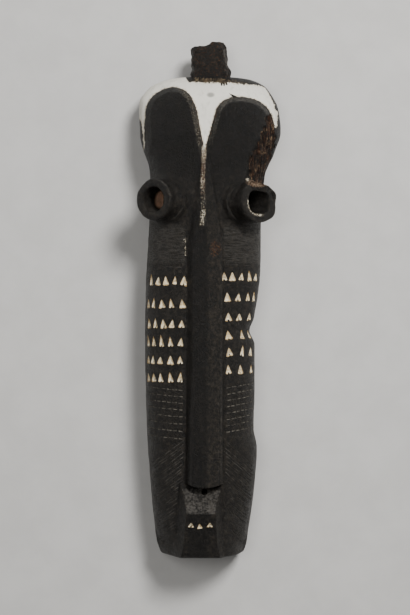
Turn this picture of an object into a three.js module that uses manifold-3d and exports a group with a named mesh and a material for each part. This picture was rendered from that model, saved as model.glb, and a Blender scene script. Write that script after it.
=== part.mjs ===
// A tall face mask carved from one block of wood, lying on its back rim. A trough-shaped face with
// tube eyes, a long plank nose and a small toothed mouth rises into a domed head. Two raised lobes
// lie on the dome, and a short peg stands on its crown. Rows of chip-cut triangles, dashed lines
// and slanting hatches cover the cheeks. All sizes are in millimetres.
//
// +X is the mask's left side as it faces the viewer's right, +Y runs from the chin to the crown
// and +Z is out of the face. "level" is a height above the chin, measured along Y.

import * as THREE from 'three';
import { mergeVertices } from 'three/addons/utils/BufferGeometryUtils.js';
import { ConvexGeometry } from 'three/addons/geometries/ConvexGeometry.js';
import Module from 'manifold-3d';

const wasm = await Module();
wasm.setup();

// Whole object
const LENGTH = 700;
const CROWN = 652;
const WALL = 12;
const END_WALL = 14;
const RELIEF = 9;
const RIM_LEAN = 3;

// Head
const V_TIP = { x: -1, level: 546 };
const BEVEL = 7;
const PEG_DEPTH = 46;
const PEG_STEP = { x: 5, level: 693.5 };

// Eyes
const EYE_TURN = 33;
const EYE_LENGTH = 31;
const EYE_RADIUS = 27;
const EYE_BASE_RADIUS = 31;
const BORE_RADIUS = 16.5;
const LEFT_EYE = { x: -69, level: 480, z: 121 };
const RIGHT_EYE = { x: 72, level: 477, z: 121 };

// Nose
const NOSE_X = -1;
const NOSE_END = 98;

// Mouth
const LIP_LEVEL = 61.5;
const LIP_DEPTH = 127;
const FRONT_FALL = 0.4;
const MOUTH_HOLE = { x: -0.5, level: 90, diameter: 7 };

// Carved marks
const CHIP = { width: 9.5, height: 11.5, depth: 3.4 };
const TOOTH = { width: 8, height: 7, depth: 2.6 };
const DASH_ROWS = 8;
const DASH_PITCH = 8.6;
const DASH_TOP = { left: 227, right: 232 };
const HATCH_PITCH = 12;

// A smooth curve through [level, value] stations, which never overshoots them
function through(stations) {
  const rise = stations.slice(1).map(([level, value], i) => (
    (value - stations[i][1]) / (level - stations[i][0])
  ));
  const slope = stations.map((_, i) => {
    if (i === 0) return rise[0];
    if (i === rise.length) return rise[i - 1];
    if (rise[i - 1] * rise[i] <= 0) return 0;
    return (2 * rise[i - 1] * rise[i]) / (rise[i - 1] + rise[i]);
  });
  return (level) => {
    const last = stations.length - 2;
    let i = 0;
    while (i < last && level > stations[i + 1][0]) i += 1;
    const span = stations[i + 1][0] - stations[i][0];
    const s = THREE.MathUtils.clamp((level - stations[i][0]) / span, 0, 1);
    const [from, to] = [stations[i][1], stations[i + 1][1]];
    const ease = s * s * (3 - 2 * s);
    return from + (to - from) * ease + span * s * (1 - s) * (slope[i] * (1 - s) - slope[i + 1] * s);
  };
}

// Outline and depth of the carved block along its length
const leftEdge = through([
  [0, -60], [28, -68], [83, -73.5], [183, -80], [305, -82], [416, -78], [500, -74.5], [527, -76.5],
  [549, -83], [572, -88.5], [616, -90], [638, -77], [649, -57], [CROWN, -46],
]);
const rightEdge = through([
  [0, 53], [28, 59.5], [105, 69], [145, 71], [172, 66.5], [228, 68], [286, 68], [305, 61], [322, 67],
  [383, 75], [470, 77], [516, 82], [549, 95.5], [578, 103.5], [605, 101], [638, 85], [649, 68], [CROWN, 56],
]);
const baseDepth = through([
  [0, 94], [100, 96], [400, 95], [560, 97], [600, 93], [625, 84], [642, 70], [CROWN, 56],
]);
const sideDepth = through([[0, 20], [120, 42], [400, 52], [560, 50], [620, 40], [CROWN, 24]]);
const roundness = through([[0, 2.2], [120, 2.5], [CROWN, 2.4]]);

// Depth of the face at a place in the front view
function faceDepth(x, level, rise = RELIEF) {
  const middle = (leftEdge(level) + rightEdge(level)) / 2;
  const half = (rightEdge(level) - leftEdge(level)) / 2;
  const reach = Math.min(Math.abs(x - middle) / half, 0.995);
  const power = roundness(level);
  const side = sideDepth(level);
  return side + (baseDepth(level) + rise - side) * (1 - reach ** power) ** (1 / power);
}

function facePoint(x, level, rise = RELIEF) {
  return new THREE.Vector3(x, level, faceDepth(x, level, rise));
}

function faceNormal(x, level) {
  const step = 1;
  const across = facePoint(x + step, level).sub(facePoint(x - step, level));
  const along = facePoint(x, level + step).sub(facePoint(x, level - step));
  return across.cross(along).normalize();
}

// Turns a closed geometry into a solid for joining and cutting
function solid(geometry) {
  const bare = geometry.clone();
  bare.deleteAttribute('normal');
  bare.deleteAttribute('uv');
  const merged = mergeVertices(bare, 1e-4);
  const build = (index) => new wasm.Manifold(new wasm.Mesh({
    numProp: 3,
    vertProperties: new Float32Array(merged.attributes.position.array),
    triVerts: new Uint32Array(index),
  }));
  const index = Array.from(merged.index.array);
  const made = build(index);
  return made.volume() >= 0 ? made : build(index.reverse());
}

// Gives a solid back as a geometry, with the needle edges that crossing cuts leave drawn together
function geometryOf(manifold) {
  const shortest = 0.02;
  const mesh = manifold.getMesh();
  const positions = new Float32Array(mesh.vertProperties);
  const corner = (i) => new THREE.Vector3().fromArray(positions, 3 * i);
  const joined = Array.from({ length: positions.length / 3 }, (_, i) => i);
  const kept = (i) => (joined[i] === i ? i : kept(joined[i]));
  const triangles = Array.from({ length: mesh.triVerts.length / 3 }, (_, t) => (
    Array.from(mesh.triVerts.slice(3 * t, 3 * t + 3))
  ));
  triangles.forEach((triangle) => triangle.forEach((from, i) => {
    const to = triangle[(i + 1) % 3];
    if (corner(from).distanceTo(corner(to)) < shortest) joined[kept(from)] = kept(to);
  }));
  const index = triangles.map((triangle) => triangle.map(kept))
    .filter(([a, b, c]) => a !== b && b !== c && c !== a);
  const geometry = new THREE.BufferGeometry();
  geometry.setAttribute('position', new THREE.BufferAttribute(positions, 3));
  geometry.setIndex(index.flat());
  geometry.computeVertexNormals();
  return geometry;
}

// A closed body through rings with equal numbers of points, capped flat at both ends
function loft(rings) {
  const count = rings[0].length;
  const positions = rings.flat().flatMap((point) => [point.x, point.y, point.z]);
  const index = [];
  for (let r = 0; r + 1 < rings.length; r += 1) {
    for (let i = 0; i < count; i += 1) {
      const next = (i + 1) % count;
      const [a, b] = [r * count + i, r * count + next];
      index.push(a, b, b + count, a, b + count, a + count);
    }
  }
  const last = (rings.length - 1) * count;
  for (let i = 1; i + 1 < count; i += 1) {
    index.push(0, i + 1, i, last, last + i, last + i + 1);
  }
  const geometry = new THREE.BufferGeometry();
  geometry.setAttribute('position', new THREE.Float32BufferAttribute(positions, 3));
  geometry.setIndex(index);
  return geometry;
}

// One cross-section of the block, from the left rim over the face to the right rim
function section(level, { depth, inset = 0, foot = 0, lean = RIM_LEAN, columns = 20 }) {
  const left = leftEdge(level) + inset;
  const right = rightEdge(level) - inset;
  const middle = (left + right) / 2;
  const half = (right - left) / 2;
  const side = sideDepth(level);
  const power = 2 / roundness(level);
  const points = [new THREE.Vector3(left + lean, level, foot)];
  for (let i = 0; i <= columns; i += 1) {
    const turn = Math.PI * (i / columns - 0.5);
    const across = Math.sign(turn) * Math.abs(Math.sin(turn)) ** power;
    const out = Math.max(Math.cos(turn), 0) ** power;
    points.push(new THREE.Vector3(middle + half * across, level, side + (depth - side) * out));
  }
  points.push(new THREE.Vector3(right - lean, level, foot));
  return points;
}

function levels(from, to, bodyStep, headStep) {
  const headStart = 540;
  const list = [];
  for (let level = from; level < headStart; level += bodyStep) list.push(level);
  for (let level = headStart; level < to; level += headStep) list.push(level);
  list.push(to);
  return list;
}

function block(rise) {
  const chinEdge = 3;
  const rings = levels(chinEdge, CROWN, 30, 10).map((level) => (
    section(level, { depth: baseDepth(level) + rise })
  ));
  const foot = section(0, { depth: baseDepth(0) + rise - chinEdge, inset: chinEdge });
  return solid(loft([foot, ...rings]));
}

// The two lobes and everything below them stand RELIEF proud of the painted dome
const lobeEdges = [
  [
    [-84, 548], [-80, 566], [-81, 592], [-79, 610], [-70, 624], [-54, 633.5], [-39, 634.5],
    [-24, 627], [-13.5, 608.5], [-7.5, 582], [V_TIP.x, V_TIP.level],
  ],
  [
    [V_TIP.x, V_TIP.level], [7.5, 574], [12.5, 593], [18, 607.5], [29, 617], [46, 620.5], [64, 618.5],
    [79, 611.5], [89, 599], [95, 580],
  ],
].map((points) => {
  const curve = new THREE.SplineCurve(points.map(([x, level]) => new THREE.Vector2(x, level)));
  return curve.getPoints(2 * points.length);
});

function raisedFace() {
  const outside = 130;
  const outline = new THREE.Shape([
    new THREE.Vector2(-outside, -20),
    new THREE.Vector2(-outside, 540),
    ...lobeEdges[0],
    ...lobeEdges[1].slice(1),
    new THREE.Vector2(outside, 570),
    new THREE.Vector2(outside, -20),
  ]);
  const prism = solid(new THREE.ExtrudeGeometry(outline, { depth: 160, bevelEnabled: false, steps: 1 }));
  return block(RELIEF).intersect(prism);
}

// Sweeps a small section along places on the face. The section is worked out from how squarely the
// face looks at the viewer there, as [sideways, out of the face] points
function sweep(places, profile) {
  const points = places.map(([x, level]) => facePoint(x, level));
  const rings = points.map((point, i) => {
    const before = points[Math.max(i - 1, 0)];
    const after = points[Math.min(i + 1, points.length - 1)];
    const along = after.clone().sub(before).normalize();
    const out = faceNormal(...places[i]);
    const sideways = along.cross(out).normalize();
    return profile(out.z).map(([side, up]) => (
      point.clone().addScaledVector(sideways, side).addScaledVector(out, up)
    ));
  });
  return solid(loft(rings));
}

function lobeBevels() {
  return lobeEdges.map((edge) => {
    const places = edge.map((point) => [point.x, point.y]);
    return sweep(places, (squareness) => {
      const floor = 1.3 - RELIEF * squareness;
      const foot = -1.2 - RELIEF * Math.sqrt(1 - squareness ** 2);
      return [[BEVEL, 0.6], [foot, 0.6], [foot, floor], [0, floor]];
    });
  });
}

// The hollow behind the face
function hollow() {
  const below = -20;
  const depth = through([
    [END_WALL, 82], [60, 90], [500, 92], [545, 88], [570, 84], [600, 80], [622, 68], [CROWN - END_WALL, 44],
  ]);
  const rings = levels(END_WALL, CROWN - END_WALL, 40, 20).map((level) => (
    section(level, { depth: depth(level), inset: WALL, foot: below, lean: -1, columns: 14 })
  ));
  return solid(loft(rings));
}

// Nose: a plank that widens from the V tip, with a low ridge right of its middle and a bevel
// along its left side
const noseHalfWidth = through([[NOSE_END, 24.5], [420, 24], [448, 20.5], [494, 14], [548, 7], [566, 4]]);
const noseBevel = through([[NOSE_END, 5], [230, 8.5], [400, 8.5], [448, 7], [494, 5], [548, 2.5], [566, 2]]);
const noseEdgeRise = through([[NOSE_END, 15], [300, 11.5], [420, 8.5], [494, 3], [540, 0.4], [566, -9]]);
const noseRidgeRise = through([[NOSE_END, 21], [300, 16.5], [420, 12.5], [494, 7.5], [540, 2], [566, -8]]);
const noseRidge = through([[NOSE_END, 3], [400, 3], [494, 0.5], [566, 0]]);

function nose() {
  const rings = [NOSE_END, 140, 200, 260, 320, 380, 420, 448, 494, 530, 548, 566].map((level) => {
    const half = noseHalfWidth(level);
    const bevelled = noseBevel(level) - half;
    const edge = noseEdgeRise(level);
    const ridge = noseRidgeRise(level);
    const middle = noseRidge(level);
    const flank = edge + (ridge - edge) * 0.75;
    const corners = [
      [-half - 1.5, -7], [-half, Math.min(0.5, edge - 1.5)], [bevelled, edge],
      [(bevelled + middle) / 2, flank], [middle, ridge], [(half + middle) / 2, flank],
      [half - 2, edge], [half, edge - 1.5], [half + 1.5, -7],
    ];
    return corners.map(([aside, rise]) => {
      const centre = faceDepth(NOSE_X, level);
      const root = faceDepth(NOSE_X + aside, level);
      const ground = rise < 0 ? Math.min(root, centre) : centre;
      return new THREE.Vector3(NOSE_X + aside, level, ground + rise);
    });
  });
  return solid(loft(rings));
}

// Mouth: an upper lip that slopes up to the nose end, and a flat toothed front that slopes back
// to the chin
function frontDepth(level) {
  return LIP_DEPTH - (LIP_LEVEL - level) * FRONT_FALL;
}

function mouth() {
  const root = 84;
  const foot = 100;
  const front = [[-25.5, 14.5, LIP_LEVEL], [-28, 16, 30], [-30, 18, 4]].flatMap(([left, right, level]) => [
    [left, level, frontDepth(level)], [right, level, frontDepth(level)],
  ]);
  const feet = [[-36, 25, NOSE_END + 2], [-38, 25, LIP_LEVEL], [-36.5, 24, 30]];
  const sides = feet.flatMap(([left, right, level]) => [
    [left, level, foot], [right, level, foot], [left, level, root], [right, level, root],
  ]);
  const chin = [[-31, 4, root], [19, 4, root]];
  const corners = [...front, ...sides, ...chin].map((corner) => new THREE.Vector3(...corner));
  return solid(new ConvexGeometry(corners));
}

// Eyes: flaring tubes that look outwards, each bored through into the hollow
function lathe(profile, eye, side) {
  const geometry = new THREE.LatheGeometry(profile.map(([r, h]) => new THREE.Vector2(r, h)), 20);
  geometry.rotateX(Math.PI / 2);
  geometry.rotateY(side * THREE.MathUtils.degToRad(EYE_TURN));
  geometry.translate(eye.x, eye.level, eye.z);
  return solid(geometry);
}

function tube(eye, side) {
  const rounding = 3;
  const root = EYE_LENGTH + 40;
  return lathe([
    [0, -root], [EYE_BASE_RADIUS - 12, -root], [EYE_BASE_RADIUS, -EYE_LENGTH - 2],
    [EYE_RADIUS + 0.5, -EYE_LENGTH / 2], [EYE_RADIUS, -rounding], [EYE_RADIUS - rounding, 0], [0, 0],
  ], eye, side);
}

function bore(eye, side) {
  const past = 5;
  return lathe([
    [0, -EYE_LENGTH - 40], [BORE_RADIUS - 2.5, -EYE_LENGTH - 40], [BORE_RADIUS - 1, -EYE_LENGTH / 2],
    [BORE_RADIUS, -2], [BORE_RADIUS + 2, past], [0, past],
  ], eye, side);
}

// Peg: a rough square stump on the crown, with its top stepped up towards one side
function peg() {
  const sides = 12;
  const squareness = 0.55;
  const squared = (wave) => Math.sign(wave) * Math.abs(wave) ** squareness;
  const rings = [
    [638, -19, 35.5, 21], [656, -18.3, 35, 22], [664, -17, 32, 20.5], [671, -18.4, 30.5, 22],
    [686, -18, 29.5, 20], [694, -17.5, 27.5, 18.5], [LENGTH, -17, 24.5, 16],
  ].map(([level, left, right, halfDepth], r) => {
    const ring = [];
    for (let i = 0; i < sides; i += 1) {
      const turn = (2 * Math.PI * (i + 0.5)) / sides;
      const rough = 1 + 0.02 * Math.sin(3 * i + 2 * r);
      ring.push(new THREE.Vector3(
        (left + right) / 2 + ((right - left) / 2) * rough * squared(Math.cos(turn)),
        level,
        PEG_DEPTH + halfDepth * rough * squared(Math.sin(turn)),
      ));
    }
    return ring;
  });
  const past = 30;
  const step = new THREE.BoxGeometry(2 * past, past, 4 * past);
  step.translate(PEG_STEP.x - past, PEG_STEP.level + past / 2, PEG_DEPTH);
  return solid(loft(rings)).subtract(solid(step));
}

// A three-sided chip, cut point upwards
function chip(x, level, size, depthAt = faceDepth(x, level), out = faceNormal(x, level)) {
  const centre = new THREE.Vector3(x, level, depthAt);
  const across = new THREE.Vector3(0, 1, 0).cross(out).normalize();
  const upwards = out.clone().cross(across).normalize();
  const above = 1.2;
  const spread = 1 + above / size.depth;
  const at = (side, up, lift) => centre.clone()
    .addScaledVector(across, side).addScaledVector(upwards, up).addScaledVector(out, lift);
  return solid(new ConvexGeometry([
    at(0, size.height * 0.55 * spread, above),
    at(-size.width * 0.5 * spread, -size.height * 0.45 * spread, above),
    at(size.width * 0.5 * spread, -size.height * 0.45 * spread, above),
    at(0, -size.height * 0.15, -size.depth),
  ]));
}

// Places along a row, a fixed pitch apart on the curved surface
function rowPlaces(start, level, pitch, count) {
  const places = [];
  let x = start;
  for (let i = 0; i < count; i += 1) {
    places.push(x);
    x += pitch * Math.max(faceNormal(x, level).z, 0.4);
  }
  return places;
}

function chips() {
  const leftRows = [[372.5, 5], [341.5, 5], [314.5, 5], [290, 5], [266, 5], [242, 5]];
  const rightRows = [
    [378, 5, 25.5], [350.5, 4, 30], [324, 3, 31.5], [299.5, 3, 31.5], [277, 3, 32], [253, 3, 31.5],
  ];
  const cuts = [];
  leftRows.forEach(([level, count]) => {
    rowPlaces(-30.5, level, -13.2, count).forEach((x) => cuts.push(chip(x, level, CHIP)));
  });
  rightRows.forEach(([level, count, start]) => {
    rowPlaces(start, level, 13.6, count).forEach((x) => cuts.push(chip(x, level, CHIP)));
  });
  return cuts;
}

function teeth() {
  const lean = new THREE.Vector3(0, -FRONT_FALL, 1).normalize();
  return [[-18.5, 47.5], [-6.8, 45.5], [6.5, 47.5]].map(([x, level]) => (
    chip(x, level, TOOTH, frontDepth(level), lean)
  ));
}

// Shallow grooves: one for each dashed row, and slanting hatches below them
function groove(places) {
  return sweep(places, () => [[1.5, 0.6], [-1.5, 0.6], [0, -1.3]]);
}

// Places from near the nose out to the side, closer together where the face turns away
function stretch(inner, outer) {
  const steps = 4;
  return Array.from({ length: steps + 1 }, (_, i) => {
    const share = Math.sin((Math.PI / 2) * (i / steps));
    return [
      THREE.MathUtils.lerp(inner[0], outer[0], share), THREE.MathUtils.lerp(inner[1], outer[1], share),
    ];
  });
}

function dashRows() {
  const cuts = [];
  for (let row = 0; row < DASH_ROWS; row += 1) {
    const drop = row * DASH_PITCH;
    cuts.push(groove(stretch([-29, DASH_TOP.left - 4 - drop], [-74, DASH_TOP.left - drop])));
    cuts.push(groove(stretch([28, DASH_TOP.right - 6 - drop], [61, DASH_TOP.right - drop])));
  }
  return cuts;
}

function hatches() {
  const cuts = [];
  for (let level = 158; level > 35; level -= HATCH_PITCH) {
    const inner = level > 100 ? -29 : -38;
    const edge = leftEdge(level - 20) + 9;
    cuts.push(groove(stretch([inner, level], [edge, level - (inner - edge) * 0.75])));
    const innerRight = level > 100 ? 28 : 29;
    const edgeRight = rightEdge(level - 20) - 9;
    cuts.push(groove(stretch([innerRight, level], [edgeRight, level - (edgeRight - innerRight) * 0.9])));
  }
  return cuts;
}

// Decay: hollows eaten out beside the right lobe, and the broken top of the right eye
function decay() {
  const bite = (x, level, z, size) => {
    const geometry = new THREE.IcosahedronGeometry(1, 1);
    geometry.scale(...size);
    geometry.translate(x, level, z);
    return solid(geometry);
  };
  const eaten = [[88, 577, 10, 26], [80, 550, 13, 24], [69, 528, 12, 22], [86, 528, 9, 20]];
  return [
    ...eaten.map(([x, level, width, height]) => bite(x, level, faceDepth(x, level) + 3, [width, height, 10])),
    bite(64, 506, 128, [20, 12, 12]),
    bite(88, 500, 112, [12, 9, 16]),
  ];
}

function carve() {
  const joined = wasm.Manifold.union([block(0), raisedFace()]);
  const dressed = joined.subtract(wasm.Manifold.union(lobeBevels()));
  const whole = wasm.Manifold.union([
    dressed, nose(), mouth(), tube(LEFT_EYE, -1), tube(RIGHT_EYE, 1), peg(),
  ]);
  const hole = new THREE.CylinderGeometry(MOUTH_HOLE.diameter / 2, MOUTH_HOLE.diameter / 2, 120, 12);
  hole.rotateX(Math.PI / 2);
  hole.translate(MOUTH_HOLE.x, MOUTH_HOLE.level, 110);
  const carved = whole.subtract(wasm.Manifold.union([
    hollow(), bore(LEFT_EYE, -1), bore(RIGHT_EYE, 1), solid(hole),
    ...chips(), ...teeth(), ...dashRows(), ...hatches(), ...decay(),
  ]));
  return largest(carved.decompose());
}

// Drops the crumbs that crossing cuts leave behind
function largest(bodies) {
  return bodies.reduce((kept, body) => (body.volume() > kept.volume() ? body : kept));
}

function placed(carved) {
  const box = carved.boundingBox();
  const geometry = geometryOf(carved);
  geometry.translate(-(box.min[0] + box.max[0]) / 2, -LENGTH / 2, 0);
  return geometry;
}

const blackenedWood = new THREE.MeshStandardMaterial({ color: 0x2a2622, roughness: 0.75, metalness: 0 });
const mask = new THREE.Mesh(placed(carve()), blackenedWood);
mask.name = 'mask';

const object = new THREE.Group();
object.add(mask);

export default object;
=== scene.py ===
import math

import bmesh
import bpy
import numpy as np
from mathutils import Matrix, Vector, noise
from mathutils.bvhtree import BVHTree


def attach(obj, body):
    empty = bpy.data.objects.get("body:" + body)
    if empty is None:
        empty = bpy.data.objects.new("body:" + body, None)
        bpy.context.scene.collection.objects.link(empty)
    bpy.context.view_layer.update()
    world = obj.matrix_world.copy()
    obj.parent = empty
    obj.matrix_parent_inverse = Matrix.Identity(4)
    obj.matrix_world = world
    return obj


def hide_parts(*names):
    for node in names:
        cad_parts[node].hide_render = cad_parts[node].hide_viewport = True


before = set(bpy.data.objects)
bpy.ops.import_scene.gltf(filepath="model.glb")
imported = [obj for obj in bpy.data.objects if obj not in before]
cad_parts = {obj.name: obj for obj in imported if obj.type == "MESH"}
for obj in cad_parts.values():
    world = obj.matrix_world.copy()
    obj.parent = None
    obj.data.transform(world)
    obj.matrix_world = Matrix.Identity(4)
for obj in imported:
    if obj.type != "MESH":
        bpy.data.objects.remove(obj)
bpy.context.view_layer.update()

# Camera: it looks straight down on the mask, which lies on its back rim, from the distance
# that the photograph's perspective gives. All sizes here are in millimetres: x to the right,
# level from the chin up, z out of the face. MM turns them into metres.
MM = 0.001
CAMERA_DISTANCE = 2450.0
FOCAL_PIXELS = 1752.0
PICTURE_HEIGHT_PIXELS = 615
SENSOR_HEIGHT = 36.0
CENTRE_X = 6.7
CENTRE_LEVEL = 350.0
CAMERA_LEVEL = 336.4


def placed(points):
    """Places in millimetres on the mask, as places in metres in the frame."""
    return (np.asarray(points, float) - np.array([CENTRE_X, CENTRE_LEVEL, 0.0])) * MM


def object_of(name, data):
    """A new object that shows the data in the scene."""
    obj = bpy.data.objects.new(name, data)
    bpy.context.collection.objects.link(obj)
    return obj


camera_data = bpy.data.cameras.new("camera")
camera_data.sensor_fit = "VERTICAL"
camera_data.sensor_height = SENSOR_HEIGHT
camera_data.lens = FOCAL_PIXELS / PICTURE_HEIGHT_PIXELS * SENSOR_HEIGHT
camera_data.clip_end = 20.0
camera = object_of("camera", camera_data)
camera.location = placed([0.0, CAMERA_LEVEL, CAMERA_DISTANCE])
bpy.context.scene.camera = camera

# The block: half a log of a light hardwood, cut to a long trough with a domed head. It is
# shaped with an adze and a knife. The head leans to the right, and the right edge is bitten.
LENGTH = 700.0
CROWN = 652.0
RELIEF = 9.0
RIM_LEAN = 3.0
ROUNDED_END = 3.5
WIDEST_SHARE = 0.995


def through(stations):
    """A smooth curve through (level, value) stations that never overshoots them."""
    levels, values = np.array(stations, float).T
    secant = np.diff(values) / np.diff(levels)
    slope = np.concatenate([secant[:1], np.zeros(len(levels) - 2), secant[-1:]])
    same = secant[:-1] * secant[1:] > 0
    total = np.where(same, secant[:-1] + secant[1:], 1.0)
    slope[1:-1] = np.where(same, 2 * secant[:-1] * secant[1:] / total, 0.0)

    def curve(level):
        level = np.asarray(level, float)
        i = np.clip(np.searchsorted(levels, level, side="right") - 1, 0, len(levels) - 2)
        span = levels[i + 1] - levels[i]
        s = np.clip((level - levels[i]) / span, 0, 1)
        ease = s * s * (3 - 2 * s)
        bend = span * s * (1 - s) * (slope[i] * (1 - s) - slope[i + 1] * s)
        return values[i] + (values[i + 1] - values[i]) * ease + bend

    return curve


left_edge = through([
    (0, -60), (28, -68), (83, -73.5), (183, -80), (305, -82), (416, -78), (500, -74.5), (527, -76.5),
    (549, -83), (572, -88.5), (616, -90), (638, -77), (649, -57), (CROWN, -46),
])
right_edge = through([
    (0, 53), (28, 59.5), (105, 69), (145, 71), (172, 66.5), (228, 68), (286, 68), (305, 61), (322, 67),
    (383, 75), (470, 77), (516, 82), (549, 95.5), (578, 103.5), (605, 101), (638, 85), (649, 68),
    (CROWN, 56),
])
base_depth = through([
    (0, 94), (100, 96), (400, 95), (560, 97), (600, 93), (625, 84), (642, 70), (CROWN, 56),
])
side_depth = through([(0, 20), (120, 42), (400, 52), (560, 50), (620, 40), (CROWN, 24)])
roundness = through([(0, 2.2), (120, 2.5), (CROWN, 2.4)])


def face_depth(x, level, rise=RELIEF):
    """Depth of the plain face, without nose or mouth, at places in the front view."""
    middle = (left_edge(level) + right_edge(level)) / 2
    half = (right_edge(level) - left_edge(level)) / 2
    reach = np.minimum(np.abs(x - middle) / half, WIDEST_SHARE)
    power = roundness(level)
    side = side_depth(level)
    return side + (base_depth(level) + rise - side) * (1 - reach ** power) ** (1 / power)


def smooth(value, low, high):
    """0 below low, 1 above high, and a smooth step between."""
    s = np.clip((value - low) / (high - low), 0, 1)
    return s * s * (3 - 2 * s)


def rough(points, size, seed, octaves=3):
    """Noise from about -1 to 1, with lumps of the given size, or sizes along each axis."""
    scaled = np.asarray(points, float) / np.asarray(size, float) + seed * np.array([17.3, 5.1, 9.7])
    return np.array([noise.fractal(Vector(p), 1.0, 2.0, octaves) for p in scaled.tolist()])


# Lobes: two flat pads that cover the brow and stand proud of the painted dome. A knife has
# bevelled their edge, and they meet in a V over the nose.
BEVEL = 7.5
EDGE_STEP = 0.25
EDGE_RISES = (-0.9, 0.5)
LOBES_FROM = 500.0
PAST_SIDE, PAST_CHIN = 160, -60
FAR_INSIDE = 40.0
V_TIP = (-1.0, 546.0)
LOBE_EDGES = [
    [
        (-84, 548), (-80, 566), (-81, 592), (-79, 610), (-70, 624), (-54, 633.5), (-39, 634.5),
        (-24, 627), (-13.5, 608.5), (-7.5, 582), V_TIP,
    ],
    [
        V_TIP, (7.5, 574), (12.5, 593), (18, 607.5), (29, 617), (46, 620.5), (64, 618.5),
        (79, 611.5), (89, 599), (95, 580),
    ],
]


def spline(points, steps=8):
    """Points along a smooth open curve through the given ones."""
    given = np.array(points, float)
    ends = np.vstack([2 * given[0] - given[1], given, 2 * given[-1] - given[-2]])
    t = np.linspace(0, 1, steps, endpoint=False)[:, None]
    parts = []
    for a, b, c, d in zip(ends[:-3], ends[1:-2], ends[2:-1], ends[3:]):
        bend = (2 * a - 5 * b + 4 * c - d) * t ** 2 + (3 * b - a - 3 * c + d) * t ** 3
        parts.append(0.5 * (2 * b + (c - a) * t + bend))
    return np.vstack(parts + [given[-1:]])


def distance_inside(x, level, outline):
    """Signed distance to a closed outline in the front view, positive inside it."""
    best = np.full(x.shape, 1e9)
    inside = np.zeros(x.shape, bool)
    for (ax, ay), (bx, by) in zip(outline, np.roll(outline, -1, axis=0)):
        dx, dy = bx - ax, by - ay
        along = np.clip(((x - ax) * dx + (level - ay) * dy) / max(dx * dx + dy * dy, 1e-9), 0, 1)
        best = np.minimum(best, np.hypot(x - ax - along * dx, level - ay - along * dy))
        crosses = (ay > level) != (by > level)
        inside ^= crosses & (x < ax + (level - ay) * dx / (dy if dy else 1e-9))
    return np.where(inside, best, -best)


lobe_curves = [spline(edge) for edge in LOBE_EDGES]
raised_outline = np.vstack([
    [(-PAST_SIDE, PAST_CHIN), (-PAST_SIDE, 540)], lobe_curves[0],
    lobe_curves[1][1:], [(PAST_SIDE, 572), (PAST_SIDE, PAST_CHIN)],
])


def raised_distance(x, level):
    """Distance inside the raised face and lobes, and below zero on the painted dome."""
    distance = np.full(x.shape, FAR_INSIDE)
    near = level > LOBES_FROM
    distance[near] = distance_inside(x[near], level[near], raised_outline)
    return distance


def lobe_lift(x, level):
    """How far the raised face stands over the plain block, from 0 to 1."""
    distance = raised_distance(x, level)
    bevelled = np.clip(distance / BEVEL, 0, 1)
    return EDGE_STEP * smooth(distance, *EDGE_RISES) + (1 - EDGE_STEP) * bevelled


# Decay: insects and damp have eaten a strip of the right lobe, down to the right eye, and
# left its long fibres standing.
EATEN_PLACES = [
    (88, 585, 8, 17), (85, 566, 12, 20), (80, 547, 14, 20), (70, 528, 14, 24), (84, 528, 12, 20),
    (77, 512, 20, 13),
]
EATEN_DEPTH = 5.0
FIBRE_SIZE, FIBRE_RISE = (2.6, 26.0, 6.0), 3.4
LUMP_SIZE, LUMP_RISE = 9.0, 2.4
RAGGED_SHARE, EATEN_EDGE = 0.22, 0.25


def eaten_share(x, level):
    """How far inside the eaten strip a place is: 0 at its edge, 1 at its middle."""
    share = np.full(x.shape, -3.0)
    for centre, height, across, along in EATEN_PLACES:
        share = np.maximum(share, 1 - np.hypot((x - centre) / across, (level - height) / along))
    return share


def eaten_amount(points):
    """0 on whole wood and 1 in the eaten strip, with its ragged edge, and the lumps left in it."""
    lumps = rough(points, LUMP_SIZE, 4)
    return smooth(eaten_share(points[:, 0], points[:, 1]) + RAGGED_SHARE * lumps, 0.0, EATEN_EDGE), lumps


# Nose: a long plank in one with the face, narrow between the lobes and 49 mm wide below the
# eyes. It has a low ridge right of its middle, a bevel down its left side and a square end,
# cut in a shallow arc.
NOSE_X = -1.0
NOSE_END = 98.0
NOSE_ARC = 5.0
NOSE_TOP = 566.0
ARC_BALANCE, ARC_REACH = 0.45, 20.0
RIDGE_ROUNDING = 0.006
NOSE_EDGE_WEAR = (1.3, 3.0)
NOWHERE = -40.0
nose_half = through([(NOSE_END, 24.5), (420, 24), (448, 20.5), (494, 14), (548, 7), (NOSE_TOP, 4)])
nose_bevel = through([
    (NOSE_END, 4), (180, 5), (260, 8), (400, 8), (448, 7), (494, 5), (548, 2.5), (NOSE_TOP, 2),
])
nose_edge = through([(NOSE_END, 15), (300, 11.5), (420, 8.5), (494, 3), (540, 0.4), (NOSE_TOP, -9)])
nose_ridge = through([(NOSE_END, 21), (300, 16.5), (420, 12.5), (494, 7.5), (540, 2), (NOSE_TOP, -8)])
nose_middle = through([(NOSE_END, 3), (400, 3), (494, 0.5), (NOSE_TOP, 0)])


def nose_arc(x, level):
    """How far the rows of the surface bend down to follow the arc of the nose end."""
    aside = np.minimum(np.abs(x - NOSE_X) / nose_half(NOSE_END), 1.5)
    bow = NOSE_ARC * (aside ** 2 - ARC_BALANCE)
    flat = 1 - smooth(aside, 1.05, 1.5)
    return bow * flat * np.exp(-((level - NOSE_END) / ARC_REACH) ** 2)


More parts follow.
